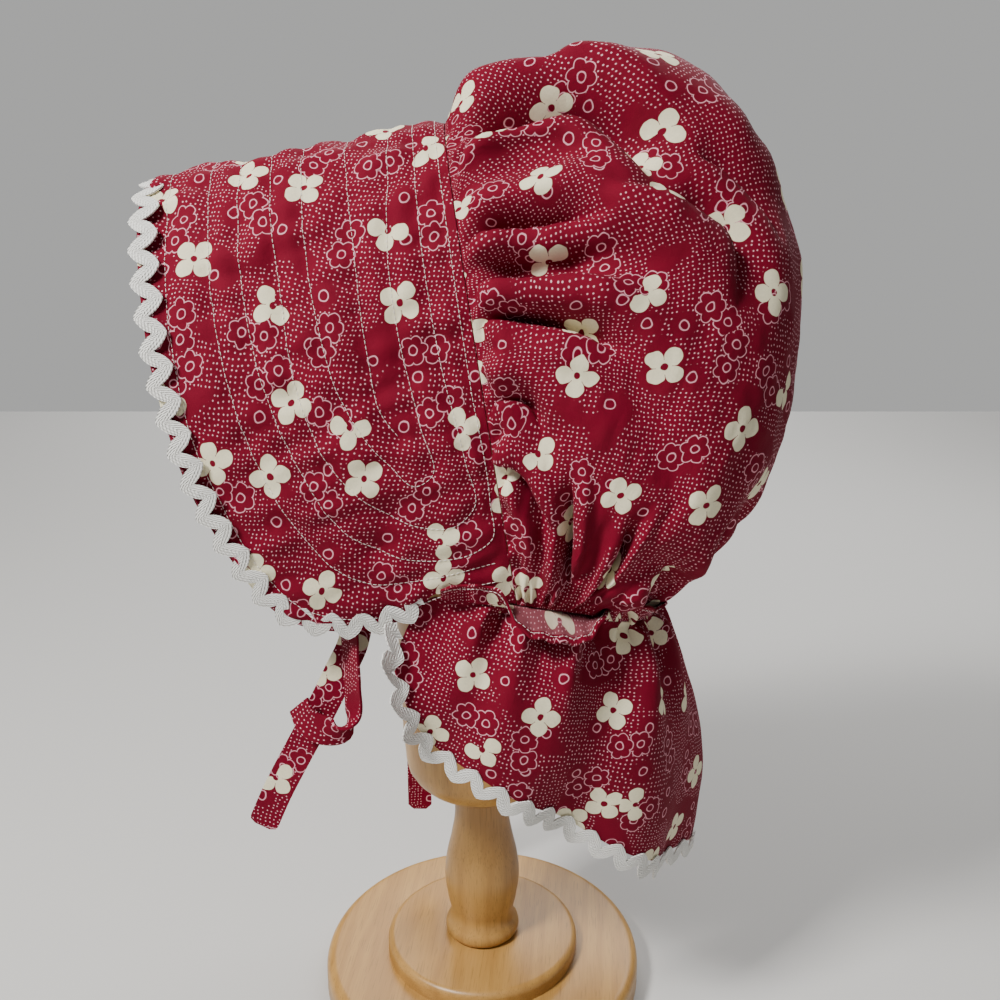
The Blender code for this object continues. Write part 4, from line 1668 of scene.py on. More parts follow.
@dataclass
class Brim:
    """The stiffened, quilted double cloth that bends over the face.

    Attributes:
        reach: From the crown's seam to the front edge.
        top_fall: How much lower the front edge lies at the top.
        foot_fall: How much lower it lies at the foot.
        wall: Thickness of the two layers.
        seam_top: Where the seam's top lies, back and up.
        half_width: Half the arch's width at the seam and at the front.
        squareness: The arch's at the seam and at the front.
        foot_share: Share of the neckline where the brim ends.
        seam_gap: How far its foot lies over the neckline.
        columns: Cells round the face.
        rows: Cells from the seam to the front.
        deep: Depth of the flat cloth.
        braid_from: Reach where the rickrack begins on the lower edge.
        puff: How much the quilting puffs between its lines.
        dip: Half-width of the dip along a line.
        pucker: Height of the puckers along the lines.
        pucker_run: How far from a line they reach.
        sway: How far the whole brim sways in and out.
        stitching: The lines, on one half.
        cuts: The lower edge's outline.
    """

    reach: float = 0.142
    top_fall: float = 0.027
    foot_fall: float = 0.045
    wall: float = 0.0026
    seam_top: tuple[float, float] = (-0.016, 0.494)
    half_width: tuple[float, float] = (0.084, 0.090)
    squareness: tuple[float, float] = (3.0, 2.85)
    foot_share: float = 0.76
    seam_gap: float = 0.0013
    columns: int = 300
    rows: int = 96
    deep: float = 0.149
    braid_from: float = 0.285
    puff: float = 0.0015
    dip: float = 0.0042
    pucker: float = 0.0011
    pucker_run: float = 0.016
    sway: float = 0.0024
    stitching: tuple[tuple[Stop, ...], ...] = (
        (
            Stop(0.00, 0.905), Stop(0.25, 0.915), Stop(0.45, 0.925), Stop(0.56, 0.915),
            Stop(0.68, 0.868), Stop(0.79, 0.80), Stop(0.86, 0.73), Stop(0.90, 0.66),
            Stop(0.925, 0.58), Stop(0.942, 0.50), Stop(0.952, 0.40), Stop(0.945, 0.28),
            Stop(0.94, 0.14), Stop(0.945, 0.03),
        ),
        (
            Stop(0.00, 0.765), Stop(0.20, 0.77), Stop(0.40, 0.78), Stop(0.52, 0.765),
            Stop(0.63, 0.73), Stop(0.75, 0.65), Stop(0.84, 0.55), Stop(0.88, 0.46),
            Stop(0.90, 0.32), Stop(0.908, 0.18), Stop(0.91, 0.03),
        ),
        (
            Stop(0.00, 0.665), Stop(0.20, 0.672), Stop(0.38, 0.682), Stop(0.51, 0.665),
            Stop(0.66, 0.60), Stop(0.79, 0.485), Stop(0.842, 0.37), Stop(0.872, 0.25),
            Stop(0.878, 0.10), Stop(0.865, 0.045), Stop(0.80, 0.030), Stop(0.60, 0.032),
            Stop(0.30, 0.030), Stop(0.00, 0.030),
        ),
        (
            Stop(0.00, 0.562), Stop(0.20, 0.567), Stop(0.40, 0.567), Stop(0.55, 0.56),
            Stop(0.67, 0.50), Stop(0.76, 0.38), Stop(0.808, 0.26), Stop(0.822, 0.14),
            Stop(0.80, 0.082), Stop(0.72, 0.085), Stop(0.55, 0.112), Stop(0.38, 0.117),
            Stop(0.18, 0.105), Stop(0.00, 0.100),
        ),
        (
            Stop(0.00, 0.462), Stop(0.20, 0.467), Stop(0.42, 0.467), Stop(0.57, 0.43),
            Stop(0.69, 0.32), Stop(0.735, 0.245), Stop(0.728, 0.20), Stop(0.64, 0.205),
            Stop(0.51, 0.225), Stop(0.38, 0.225), Stop(0.19, 0.19), Stop(0.00, 0.18),
        ),
        (
            Stop(0.00, 0.33), Stop(0.20, 0.325), Stop(0.36, 0.325), Stop(0.50, 0.33),
            Stop(0.61, 0.315), Stop(0.655, 0.27),
        ),
    )
    cuts: tuple[Cut, ...] = (
        Cut(0.00, 0.0006),
        Cut(0.10, 0.0077),
        Cut(0.20, 0.0141),
        Cut(0.26, 0.0176),
        Cut(0.32, 0.0120),
        Cut(0.38, 0.0096),
        Cut(0.46, 0.0092),
        Cut(0.56, 0.0120),
        Cut(0.66, 0.0178),
        Cut(0.76, 0.0290),
        Cut(0.81, 0.0400),
        Cut(0.86, 0.0568),
        Cut(0.91, 0.0769),
        Cut(0.95, 0.0985),
        Cut(0.98, 0.1221),
        Cut(1.00, 0.1550),
    )

    def row(self, share: Array, reach: float) -> Array:
        """Points on the brim's outer face at one reach.

        Args:
            share: Places round the face.
            reach: 0 at the crown's seam and 1 at the front.

        Returns:
            The points.
        """
        spots, _ = NECK.at(np.array([self.foot_share]))
        foot = spots[0] + (BRAID_LIFT, 0, self.seam_gap)
        foot_y, foot_z = foot[1] - self.reach * reach, foot[2] - self.foot_fall * reach
        top_y = self.seam_top[0] - self.reach * reach
        top_z = self.seam_top[1] - self.top_fall * reach
        wide = self.half_width[0] + (self.half_width[1] - self.half_width[0]) * reach
        square = self.squareness[0] + (self.squareness[1] - self.squareness[0]) * reach
        x, up, _ = arch(share, foot[0], wide, math.hypot(top_y - foot_y, top_z - foot_z), square)
        return np.stack([x, foot_y + (top_y - foot_y) * up, foot_z + (top_z - foot_z) * up], -1)

    def half_length(self) -> float:
        """Half the brim's length round the face."""
        spots, _ = NECK.at(np.array([self.foot_share]))
        y, z = spots[0][1], spots[0][2]
        rise = math.hypot(self.seam_top[0] - y, self.seam_top[1] - z)
        return arch(np.zeros(1), spots[0][0], self.half_width[0], rise, self.squareness[0])[2] / 2

    def cut(self, reach: Array) -> Array:
        """The share at which the lower edge is cut, at a reach."""
        foot = smooth(reach, column(self.cuts, "reach"), column(self.cuts, "foot"))
        return 1 - foot / self.half_length()

    def smooth_lay(self) -> Lay:
        """The brim without its quilting, uncut at its lower edge."""
        across, down = np.linspace(-1, 1, 241), np.linspace(0, 1, 61)
        return Lay(np.array([self.row(across, reach) for reach in down]), across, down)

    def stitch_lines(self) -> list[Array]:
        """The lines of topstitching, as rows of true share and reach every millimetre."""
        lines = []
        for stops in self.stitching:
            half = np.array(stops)
            whole = np.concatenate([half[::-1] * (-1, 1), half])
            whole = whole[np.concatenate([[True], np.linalg.norm(np.diff(whole, axis=0), axis=1) > 1e-6])]
            flat = whole * (self.half_length(), self.deep)
            run = run_along(flat)
            at = np.arange(0, run[-1], 0.001)
            lines.append(np.stack([smooth(at, run, whole[:, i]) for i in (0, 1)], -1))
        return lines

    def flat(self, share: Array, reach: Array) -> tuple[Array, Array]:
        """The flat cloth's coordinates at shares of the cut brim."""
        return share * self.cut(reach) * self.half_length(), reach * self.deep

    def lay(self) -> Lay:
        """The brim as it shows, quilted and cut to its outline."""
        across = np.linspace(-1, 1, self.columns + 1)
        t = np.linspace(0, 1, self.rows + 1)
        down = np.where(t < 0.8, t * 1.0, 0.8 + 0.2 * (1 - (1 - (t - 0.8) / 0.2) ** 1.25))
        base = Lay(
            np.array([self.row(across * self.cut(reach), reach) for reach in down]), across, down
        )
        scale = np.array([self.half_length(), self.deep])
        rows = np.concatenate(self.stitch_lines()) * scale
        tree = kdtree.KDTree(len(rows))
        for i, spot in enumerate(rows):
            tree.insert((*spot, 0), i)
        tree.balance()
        x, y = self.flat(*np.meshgrid(across, down))
        near = np.array([tree.find((a, b, 0))[2] for a, b in zip(x.ravel(), y.ravel())])
        near = near.reshape(x.shape)
        hill = self.puff * (1 - np.exp(-((near / self.dip) ** 2))) - self.puff
        pull = self.pucker * crumple(x, y * 0.4, 0.0085, 5) * np.exp(-((near / self.pucker_run) ** 2))
        sway = self.sway * crumple(x, y, 0.042, 6) + self.pucker * crumple(x, y * 0.7, 0.011, 7)
        edge = border(down, across, 0.05, 0.04, 0.03)
        rise = (hill + self.puff) * 0.8 + pull + sway
        spots = base.spots + base.normals(MIDDLE) * (rise * edge)[..., None]
        return Lay(spots, across, down)

    def build(self, cottons: Cottons, trims: Trims) -> None:
        """Makes the cloth, its topstitching and the rickrack on its edges.

        Args:
            cottons: The cloth's materials.
            trims: The braid and the thread.
        """
        lay = self.lay()
        finish = cottons.cloth("brim_cotton", 1.2, (0.03, 0.11))
        cloth = grid_piece("brim_cloth", lay, self.flat, self.wall, -1, [finish])
        settle(cloth, "brim", "brim")
        lines = [
            np.stack([line[:, 0] / self.cut(line[:, 1]), line[:, 1]], -1) for line in self.stitch_lines()
        ]
        stitches = settle(trims.stitches("brim_stitches", lines, lay), "brim")
        reaches = np.linspace(self.braid_from, 1, 60)
        edge = round_edge(np.stack([self.cut(reaches), reaches], -1), 160)
        braid = settle(trims.braid("brim_rickrack", edge, self.smooth_lay()), "brim_braid", "brim_braid")
        2 * self.half_length()


@dataclass
class Crown:
    """The gathered crown, from the brim's seam over the top to the nape.

    Attributes:
        seam_share: Share of the neckline where the brim's seam ends.
        foot_share: Share of the neckline where the crown's last row would end.
        seam_gap: How far its foot lies over the neckline.
        gap: How far it lies behind the brim.
        columns: Cells across.
        rows: Cells from the seam to the nape.
        half_across: Half the width of the cloth that the creases are drawn on.
        length_down: The length of that cloth.
        cloth_cut: Width and length of the flat cloth.
        cloth_area: Its area, as it isn't a rectangle.
        sharpness: How much deeper than its row says a crease is.
        overlap: How far a crease's steep side folds over it.
        lip: Height of the ridge beside a crease, as a share of its depth.
        valley_puff: Height of the ridges beside a valley, as a share of its depth.
        rumples: Heights of the large and the small crumples.
        seam_puff: How far it puffs out behind the seam.
    """

    seam_share: float = 0.76
    foot_share: float = 0.50
    seam_gap: float = 0.0013
    gap: float = 0.0004
    columns: int = 356
    rows: int = 124
    half_across: float = 0.30
    length_down: float = 0.42
    cloth_cut: tuple[float, float] = (0.58, 0.42)
    cloth_area: float = 0.175
    sharpness: float = 2.0
    overlap: float = 1.05
    lip: float = 0.40
    valley_puff: float = 0.25
    rumples: tuple[float, float] = (0.0012, 0.0005)
    seam_puff: float = 0.0030
    seam_gathers: Gathers = Gathers(44, 0.042, 0.0042, 11)
    nape_gathers: Gathers = Gathers(34, 0.085, 0.0062, 12)
    side_gathers: Gathers = Gathers(14, 0.070, 0.0042, 13)
    creases: tuple[Crease, ...] = (
        Crease(
            ((0.255, 0.0), (0.222, 0.10), (0.225, 0.16), (0.290, 0.235), (0.345, 0.30)),
            0.0085, 0.0088, 0.42,
        ),
        Crease(((0.380, 0.0), (0.407, 0.13), (0.400, 0.205), (0.380, 0.26)), 0.0078, 0.0074, 0.38),
        Crease(((0.450, 0.0), (0.480, 0.125), (0.480, 0.22), (0.460, 0.30)), 0.0080, 0.0055, 0.30),
        Crease(((0.505, 0.0), (0.553, 0.136), (0.573, 0.24), (0.573, 0.34)), 0.0085, 0.0068, 0.35),
        Crease(((0.350, 0.19), (0.353, 0.318), (0.330, 0.411), (0.427, 0.48)), 0.0110, 0.0042, 0.35),
        Crease(((0.255, 0.30), (0.235, 0.42), (0.225, 0.50)), 0.0100, 0.0045, 0.35),
        Crease(((0.100, 0.0), (0.110, 0.09), (0.150, 0.17)), 0.0075, 0.0045, 0.30),
        Crease(((0.640, 0.0), (0.655, 0.08), (0.700, 0.16)), 0.0080, 0.0045, 0.20),
        Crease(((0.740, 0.0), (0.760, 0.07), (0.830, 0.16), (0.900, 0.24)), 0.0080, 0.0050, -0.20),
        Crease(((0.960, 0.42), (0.860, 0.31), (0.770, 0.21)), 0.0100, 0.0075, 0.25),
        Crease(((0.940, 0.62), (0.840, 0.54), (0.740, 0.47)), 0.0090, 0.0060, -0.25),
        Crease(((0.560, 0.97), (0.520, 0.86), (0.540, 0.74)), 0.0100, 0.0060, 0.20),
        Crease(((0.240, 0.97), (0.280, 0.86), (0.240, 0.76)), 0.0100, 0.0050, -0.20),
        Crease(((-0.060, 0.97), (-0.030, 0.88), (-0.080, 0.76)), 0.0100, 0.0055, 0.20),
        Crease(((-0.330, 0.97), (-0.300, 0.87), (-0.350, 0.74)), 0.0100, 0.0055, -0.20),
        Crease(((-0.620, 0.97), (-0.560, 0.86), (-0.580, 0.72)), 0.0100, 0.0060, 0.20),
        Crease(((-0.170, 0.0), (-0.150, 0.10), (-0.200, 0.20), (-0.260, 0.26)), 0.0085, 0.0070, -0.35),
        Crease(((-0.300, 0.0), (-0.330, 0.12), (-0.320, 0.22)), 0.0080, 0.0060, -0.30),
        Crease(((-0.430, 0.0), (-0.440, 0.13), (-0.470, 0.27)), 0.0085, 0.0065, -0.30),
        Crease(((-0.540, 0.0), (-0.570, 0.10), (-0.560, 0.22)), 0.0080, 0.0055, -0.30),
        Crease(((-0.670, 0.0), (-0.690, 0.09), (-0.760, 0.20)), 0.0085, 0.0050, 0.20),
        Crease(((-0.960, 0.40), (-0.860, 0.30), (-0.780, 0.22)), 0.0100, 0.0070, -0.25),
        Crease(((-0.360, 0.24), (-0.340, 0.34), (-0.300, 0.44)), 0.0110, 0.0028, -0.30),
        Crease(((0.010, 0.0), (0.000, 0.07), (-0.030, 0.15)), 0.0075, 0.0040, 0.10),
    )
    line: tuple[Arch, ...] = (
        Arch(-0.0160, 0.4940, 0.084, 3.0),
        Arch(-0.0090, 0.5050, 0.090, 2.9),
        Arch(0.0200, 0.5190, 0.098, 2.7),
        Arch(0.0540, 0.5285, 0.104, 2.6),
        Arch(0.0800, 0.5275, 0.108, 2.5),
        Arch(0.1080, 0.5170, 0.111, 2.4),
        Arch(0.1290, 0.4920, 0.112, 2.4),
        Arch(0.1465, 0.4620, 0.113, 2.4),
        Arch(0.1560, 0.4370, 0.113, 2.4),
        Arch(0.1590, 0.3980, 0.112, 2.4),
        Arch(0.1580, 0.3680, 0.109, 2.4),
        Arch(0.1500, 0.3400, 0.105, 2.4),
        Arch(0.1385, 0.3150, 0.100, 2.4),
        Arch(0.1215, 0.2960, 0.090, 2.4),
        Arch(0.1035, 0.2760, 0.081, 2.4),
        Arch(0.0962, 0.2612, 0.076, 2.4),
        Arch(0.0942, 0.2505, 0.073, 2.4),
    )
    folds: tuple[Fold, ...] = (
        Fold(0.05, 0.08, 0.00, 0.26, 0.036, 0.0070),
        Fold(0.19, 0.34, 0.00, 0.52, 0.050, 0.0118),
        Fold(0.33, 0.30, 0.00, 0.34, 0.038, 0.0100),
        Fold(0.44, 0.47, 0.00, 0.50, 0.040, 0.0110),
        Fold(0.54, 0.66, 0.00, 0.58, 0.038, 0.0080),
        Fold(0.68, 0.74, 0.00, 0.30, 0.036, 0.0050),
        Fold(0.80, 0.62, 0.55, 1.00, 0.046, 0.0085),
        Fold(0.45, 0.36, 0.70, 1.00, 0.054, 0.0080),
        Fold(0.10, 0.12, 0.74, 1.00, 0.060, 0.0075),
        Fold(-0.09, -0.12, 0.00, 0.36, 0.038, 0.0080),
        Fold(-0.23, -0.32, 0.00, 0.48, 0.048, 0.0100),
        Fold(-0.36, -0.34, 0.00, 0.36, 0.038, 0.0100),
        Fold(-0.47, -0.52, 0.00, 0.52, 0.042, 0.0105),
        Fold(-0.60, -0.68, 0.00, 0.40, 0.038, 0.0070),
        Fold(-0.78, -0.60, 0.55, 1.00, 0.048, 0.0085),
        Fold(-0.40, -0.34, 0.70, 1.00, 0.054, 0.0080),
        Fold(-0.16, -0.14, 0.76, 1.00, 0.054, 0.0065),
    )

    def shape(self, share: Array, back: Array) -> Array:
        """The crown before its folds.

        Args:
            share: Shares of the columns.
            back: Shares of the rows, 0 at the brim's seam and 1 at the nape.

        Returns:
            A grid of points.
        """
        run = np.hypot(np.diff(column(self.line, "y")), np.diff(column(self.line, "z")))
        marks = np.concatenate([[0], np.cumsum(run)]) / run.sum()
        rows = []
        for b in back:
            foot_share = self.seam_share + (self.foot_share - self.seam_share) * b
            spots, outs = NECK.at(np.array([foot_share]))
            foot = spots[0] + outs[0] * BRAID_LIFT + (0, 0, self.seam_gap)
            top_y, top_z, wide, square = (
                float(smooth(b, marks, column(self.line, name)))
                for name in ("y", "z", "half_width", "squareness")
            )
            rise = math.hypot(top_y - foot[1], top_z - foot[2])
            x, up, _ = arch(share, foot[0], wide, rise, square)
            spots = np.stack([x, foot[1] + (top_y - foot[1]) * up, foot[2] + (top_z - foot[2]) * up], -1)
            neck, out = NECK.at(share * foot_share)
            neck = neck + out * BRAID_LIFT + (0, 0, self.seam_gap)
            rows.append(spots + (neck - spots) * ease((b - 0.90) / 0.10))
        return np.array(rows)

    def fold_depth(self, share: Array, back: Array) -> Array:
        """How deep the broad valleys lie.

        Args:
            share: Shares of the columns.
            back: Shares of the rows.

        Returns:
            A grid of depths.
        """
        depth = np.zeros((len(back), len(share)))
        for fold in self.folds:
            run = (back - fold.start_back) / (fold.end_back - fold.start_back)
            live = (back >= fold.start_back - 0.001) & (back <= fold.end_back + 0.10)
            if fold.start_back == 0:
                fade = ease(1 - (run - 0.35) / 0.8)
            else:
                fade = ease(run / 0.6)
            middle = fold.start_share + (fold.end_share - fold.start_share) * run
            off = (share[None] - middle[:, None]) / (fold.half_width * (1 + 0.6 * run))[:, None]
            puff = self.valley_puff * np.exp(-((np.abs(off) - 1.9) ** 2))
            depth += fold.depth * (fade * live)[:, None] * (np.exp(-off * off) - puff)
        return depth

    def crease_depth(self, x: Array, y: Array) -> tuple[Array, Array, Array]:
        """How deep the sharper creases lie, and how far their steep sides fold over them.

        Args:
            x: Flat places across, in metres.
            y: Flat places down, in metres.

        Returns:
            The depths, and the shifts across and down, all in metres.
        """
        depth, shift_x, shift_y = np.zeros(x.shape), np.zeros(x.shape), np.zeros(x.shape)
        for crease in self.creases:
            stops = np.array(crease.line) * (self.half_across, self.length_down)
            marks = np.arange(len(stops))
            at = np.linspace(0, marks[-1], 4 * marks[-1] + 1)
            line = np.stack([smooth(at, marks, stops[:, i]) for i in (0, 1)], -1)
            run = run_along(line)
            best, side, along = np.full(x.shape, 9.0), np.zeros(x.shape), np.zeros(x.shape)
            to_x, to_y = np.zeros(x.shape), np.zeros(x.shape)
            for i, (start, end) in enumerate(zip(line, line[1:])):
                way = (end - start) / np.linalg.norm(end - start)
                t = (x - start[0]) * way[0] + (y - start[1]) * way[1]
                inside = np.clip(t, 0, run[i + 1] - run[i])
                off_x, off_y = x - start[0] - way[0] * inside, y - start[1] - way[1] * inside
                far = np.hypot(off_x, off_y)
                near = far < best
                best = np.where(near, far, best)
                side = np.where(near, np.sign(way[1] * off_x - way[0] * off_y), side)
                to_x, to_y = np.where(near, -off_x, to_x), np.where(near, -off_y, to_y)
                along = np.where(near, run[i] + inside, along)
            t = along / run[-1]
            wide = crease.width * (1 - crease.lean * side) * (0.75 + 0.6 * t)
            off = best / wide
            fade = ease(t / 0.35) if crease.line[0][1] > 0.03 else 1.0
            fade = fade * ease((1 - t) / 0.45)
            lip = self.lip * np.exp(-((off - 1.7) ** 2) * 1.3)
            depth += self.sharpness * crease.depth * fade * (np.exp(-(off**1.5)) - lip)
            steep = (side * np.sign(crease.lean) > 0) * fade
            pull = steep * self.overlap * np.exp(-(((off - 0.95) / 0.55) ** 2))
            shift_x += pull * to_x
            shift_y += pull * to_y
        return depth, shift_x, shift_y

    def lay(self) -> Lay:
        """The crown as it shows."""
        share = np.linspace(-1, 1, self.columns + 1)
        v = np.linspace(0, 1, self.rows + 1)
        back = v - 0.055 * np.sin(2 * math.pi * v)
        base = Lay(self.shape(share, back), share, back)
        normal = base.normals(MIDDLE)
        edge = border(back, share, 0.07, 0.07, 0.05)
        x, y = np.meshgrid(share * self.half_across, back * self.length_down)
        depth, shift_x, shift_y = self.crease_depth(x, y)
        depth = depth + self.fold_depth(share, back)
        large, fine = self.rumples
        depth += large * crumple(x, y, 0.034, 1) + fine * crumple(x, y, 0.013, 2)
        depth -= self.seam_puff * np.exp(-(((back - 0.050) / 0.035) ** 2))[:, None]
        depth = depth * edge
        fringe = border(back, share, 0.012, 0.012, 0.012)
        small = self.seam_gathers.depth_at(share[None], (back * self.length_down)[:, None])
        small += self.nape_gathers.depth_at(share[None], ((1 - back) * self.length_down)[:, None])
        away = ((1 - np.abs(share)) * self.half_across)[None]
        small += self.side_gathers.depth_at((back * 2 - 1)[:, None], away) * ease(1 - back)[:, None]
        depth += small * fringe
        calm = border(back, share, 0.03, 0.06, 0.05)
        wide, deep = share[None] + 0 * back[:, None], back[:, None] + 0 * share[None]
        moved = base.at(wide + calm * shift_x / self.half_across, deep + calm * shift_y / self.length_down)
        spots = moved - normal * depth[..., None] + (0, self.gap, 0)
        return Lay(spots, share, back)

    def build(self, cottons: Cottons) -> None:
        """Makes the cloth.

        Args:
            cottons: The cloth's materials.
        """
        lay = self.lay()
        finishes = [
            cottons.cloth("crown_cotton", 0.5, (0.31, 0.42)),
            cottons.cloth("crown_wrong_side", 0.5, (0.31, 0.42), wrong_side=True),
        ]
        cloth = grid_piece("crown_cloth", lay, unrolled(lay, 90, 60), CLOTH_WALL, -1, finishes)
        settle(cloth, "crown", "crown")


@dataclass
class Neck:
    """The frill that stands out of the neckline, and the curtain below it.

    Attributes:
        frill_share: Share of the neckline that the frill covers.
        frill_root: How far inside the neckline it begins.
        casing: How far it is sewn down into the neckline.
        frill_foot: How far out of the neckline it turns up.
        frill_foot_at: Share of its width where that is.
        wave_depth: Depth of the curtain's waves at the hem.
        waves: Half-waves on each side of it.
        bulge: How far it stands out halfway down.
        braid_from: Share of the front edges where the rickrack begins.
        tuck: How far its front ends are tucked under the brim.
        ripple: Depth of the frill's ripples.
        hem: Width of the frill's hem.
    """

    frill_share: float = 0.985
    frill_root: float = 0.0030
    casing: float = 0.0050
    frill_foot: float = 0.0016
    frill_foot_at: float = 0.30
    seam_gap: float = 0.0013
    wave_depth: float = 0.0052
    waves: float = 6.5
    bulge: float = 0.013
    braid_from: float = 0.60
    curtain_cut: tuple[float, float] = (0.46, 0.15)
    curtain_area: float = 0.058
    tuck: float = 0.0034
    ripple: float = 0.0019
    ripples: float = 29.0
    frill_cut: tuple[float, float] = (0.46, 0.017)
    hem: float = 0.0030
    curtain_gathers: Gathers = Gathers(50, 0.045, 0.0030, 21)
    curtain_folds: Gathers = Gathers(15, 0.150, 0.0088, 22)
    frill: tuple[Frill, ...] = (
        Frill(-1.000, 0.0060, 0.0060),
        Frill(-0.900, 0.0100, 0.0072),
        Frill(-0.800, 0.0105, 0.0080),
        Frill(-0.700, 0.0020, 0.0125),
        Frill(-0.600, 0.0100, 0.0085),
        Frill(-0.480, 0.0110, 0.0075),
        Frill(-0.360, 0.0030, 0.0120),
        Frill(-0.240, 0.0105, 0.0080),
        Frill(-0.120, 0.0110, 0.0075),
        Frill(0.000, 0.0050, 0.0140),
        Frill(0.120, 0.0100, 0.0095),
        Frill(0.220, 0.0105, 0.0080),
        Frill(0.320, 0.0070, 0.0105),
        Frill(0.420, 0.0112, 0.0072),
        Frill(0.470, 0.0108, 0.0072),
        Frill(0.515, 0.0040, 0.0105),
        Frill(0.565, -0.0070, 0.0138),
        Frill(0.635, -0.0092, 0.0150),
        Frill(0.705, -0.0088, 0.0148),
        Frill(0.765, -0.0050, 0.0132),
        Frill(0.808, 0.0085, 0.0080),
        Frill(0.860, 0.0105, 0.0066),
        Frill(0.920, 0.0095, 0.0062),
        Frill(1.000, 0.0050, 0.0056),
    )
    hems: tuple[Hem, ...] = (
        Hem(0.00, 0.150, 0.027, 0.000),
        Hem(0.25, 0.138, 0.024, 0.010),
        Hem(0.50, 0.105, 0.013, 0.019),
        Hem(0.70, 0.085, 0.013, 0.024),
        Hem(0.85, 0.068, 0.013, 0.029),
        Hem(0.94, 0.048, 0.013, 0.024),
        Hem(1.00, 0.030, 0.012, 0.020),
    )

    def curtain_lay(self) -> Lay:
        """The curtain's outer face, from the neckline down to the hem."""
        share, down = np.linspace(-1, 1, 301), np.linspace(0, 1, 61)
        neck, out = NECK.at(share)
        fall, stand, slide = (
            smooth(np.abs(share), column(self.hems, "share"), column(self.hems, name))
            for name in ("fall", "out", "slide")
        )
        tuck = ease((np.abs(share) - 0.80) / 0.18)
        rows = []
        for d in down:
            bulge = math.sin(math.pi * d) * self.bulge * (1 - tuck) * (1 - 0.6 * np.abs(share))
            wave = self.wave_depth * d**0.8 * np.sin(math.pi * self.waves * share + 0.6)
            wave = wave * ease((1 - np.abs(share)) / 0.15)
            far = BRAID_LIFT - self.tuck * tuck + stand * d ** (0.75 + 1.5 * tuck) + bulge + wave
            spots = neck + out * far[:, None]
            spots[:, 1] -= slide * d ** (1 - 0.5 * tuck)
            spots[:, 2] -= self.seam_gap + fall * d
            rows.append(spots)
        spots = np.array(rows)
        away = down[:, None] * fall[None]
        x, y = np.broadcast_arrays(share[None] * 0.15, away)
        depth = self.curtain_gathers.depth_at(share[None], away + 0 * share[None])
        depth = depth + self.curtain_folds.depth_at(share[None], away + 0 * share[None])
        depth = depth + 0.0006 * crumple(x, y, 0.02, 9) * ease(away / 0.02)
        depth = depth * (1 - 0.85 * tuck)[None] * ease((1 - np.abs(share)) / 0.02)[None]
        spots -= out[None] * depth[..., None]
        return Lay(spots, share, down)

    def frill_lay(self) -> Lay:
        """The frill's outer face, from its sewn edge out to its free edge."""
        share, wide = np.linspace(-1, 1, 521), np.linspace(0, 1, 21)
        at = share * self.frill_share
        neck, out = NECK.at(at)
        lift, reach = (
            smooth(at, column(self.frill, "share"), column(self.frill, name)) for name in ("lift", "reach")
        )
        calm = 1 - 0.75 * np.exp(-(((share - 0.67) / 0.11) ** 2))
        wave = self.ripple * calm * np.sin(math.pi * self.ripples * share + 2.2 * np.sin(9 * share))
        fine = 0.0006 * crumple(share * 0.18, 0 * share, 0.004, 14)
        rows = []
        for w in wide:
            t = max(0.0, (w - self.frill_foot_at) / (1 - self.frill_foot_at))
            foot = float(ease(np.array((w - 0.45 * self.frill_foot_at) / (0.55 * self.frill_foot_at))))
            root = -self.frill_root + (self.frill_foot + self.frill_root) * foot
            sunk = self.casing * (1 - min(1.0, w / (0.45 * self.frill_foot_at)))
            flare = 0.5 * (1 + np.tanh(lift / 0.004))
            far = root + (reach - self.frill_foot) * t ** (1 + 0.5 * flare) + (wave * flare + fine) * t
            rise = lift * t**1.05 + wave * (1 - 0.6 * flare) * t**1.4
            rows.append(neck + out * far[:, None] + (rise - sunk)[:, None] * (0, 0, 1))
        return Lay(np.array(rows) - (0, 0, CLOTH_WALL / 2), share, wide)

    def build(self, cottons: Cottons, trims: Trims) -> None:
        """Makes the curtain with its rickrack, and the frill with its topstitching.

        Args:
            cottons: The cloth's materials.
            trims: The braid and the thread.
        """
        lay = self.curtain_lay()
        finishes = [
            cottons.cloth("curtain_cotton", 0.2, (0.71, 0.23)),
            cottons.cloth("curtain_wrong_side", 0.2, (0.71, 0.23), wrong_side=True),
        ]
        cloth = grid_piece(
            "curtain_cloth", lay, unrolled(lay, 80, 16), CLOTH_WALL, -1, finishes,
            lambda spots: (spots - (0, 0.02, 0)) * (1, 1, 0),
        )
        settle(cloth, "curtain", "curtain")
        downs = np.linspace(self.braid_from, 1, 14)
        edge = round_edge(np.stack([downs * 0 + 1, downs], -1), 160)
        braid = settle(trims.braid("curtain_rickrack", edge, lay), "curtain_braid", "curtain_braid")

        lay = self.frill_lay()
        long, wide = self.frill_cut
        finishes = [
            cottons.cloth("frill_cotton", 0.0, (0.11, 0.53)),
            cottons.cloth(
                "frill_wrong_side", 0.0, (0.11, 0.53), wrong_side=True, hem_from=wide - self.hem
            ),
        ]
        frill = grid_piece(
            "frill_cloth", lay, lambda u, v: (u * long / 2, v * wide), CLOTH_WALL, -1, finishes,
            lambda spots: (spots - (0, 0.03, 0)) * (1, 1, 0) - (0, 0, 0.05),
        )
        settle(frill, "neck_frill", "neck_frill")
        along = np.linspace(-0.995, 0.995, 900)
        row = [np.stack([along, along * 0 + 1 - 0.72 * self.hem / wide], -1)]
        outside = settle(trims.stitches("frill_stitches", row, lay), "neck_frill")
        inside = settle(trims.stitches("frill_stitches_inside", row, lay, CLOTH_WALL), "neck_frill")


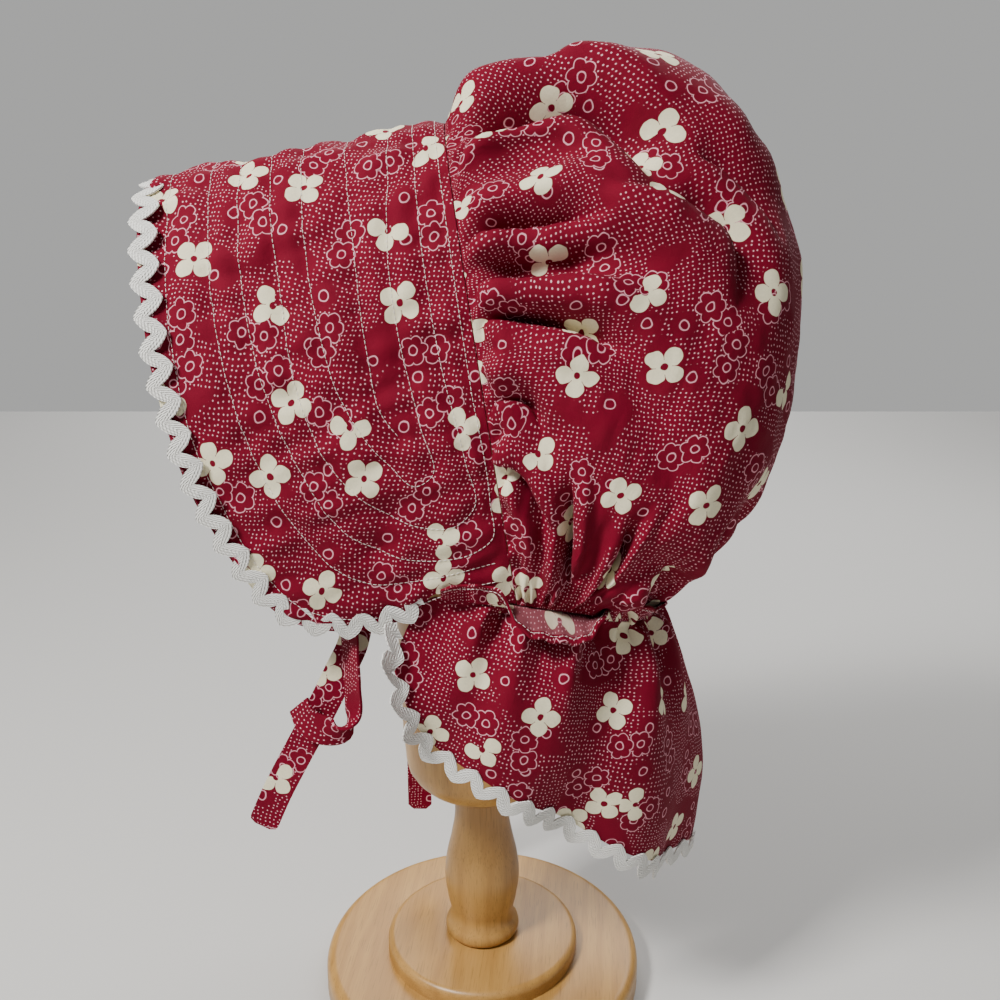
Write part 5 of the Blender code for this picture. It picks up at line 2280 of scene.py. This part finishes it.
def main() -> None:
    """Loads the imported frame, dresses every piece and sets up the light and the camera."""
    logging.basicConfig(level=logging.INFO, format="%(name)s %(message)s")
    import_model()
    cottons = Cottons()
    trims = Trims()
    Stand().build()
    Brim().build(cottons, trims)
    Crown().build(cottons)
    Neck().build(cottons, trims)
    Tie(Side.LEFT, LEFT_TIE).build(160, cottons.cloth("tie_left_cotton", 0.1, (0.4, 0.9)))
    Tie(Side.RIGHT, RIGHT_TIE).build(60, cottons.cloth("tie_right_cotton", 0.1, (0.6, 0.3)))
    Studio().build()


if __name__ == "__main__":
    main()
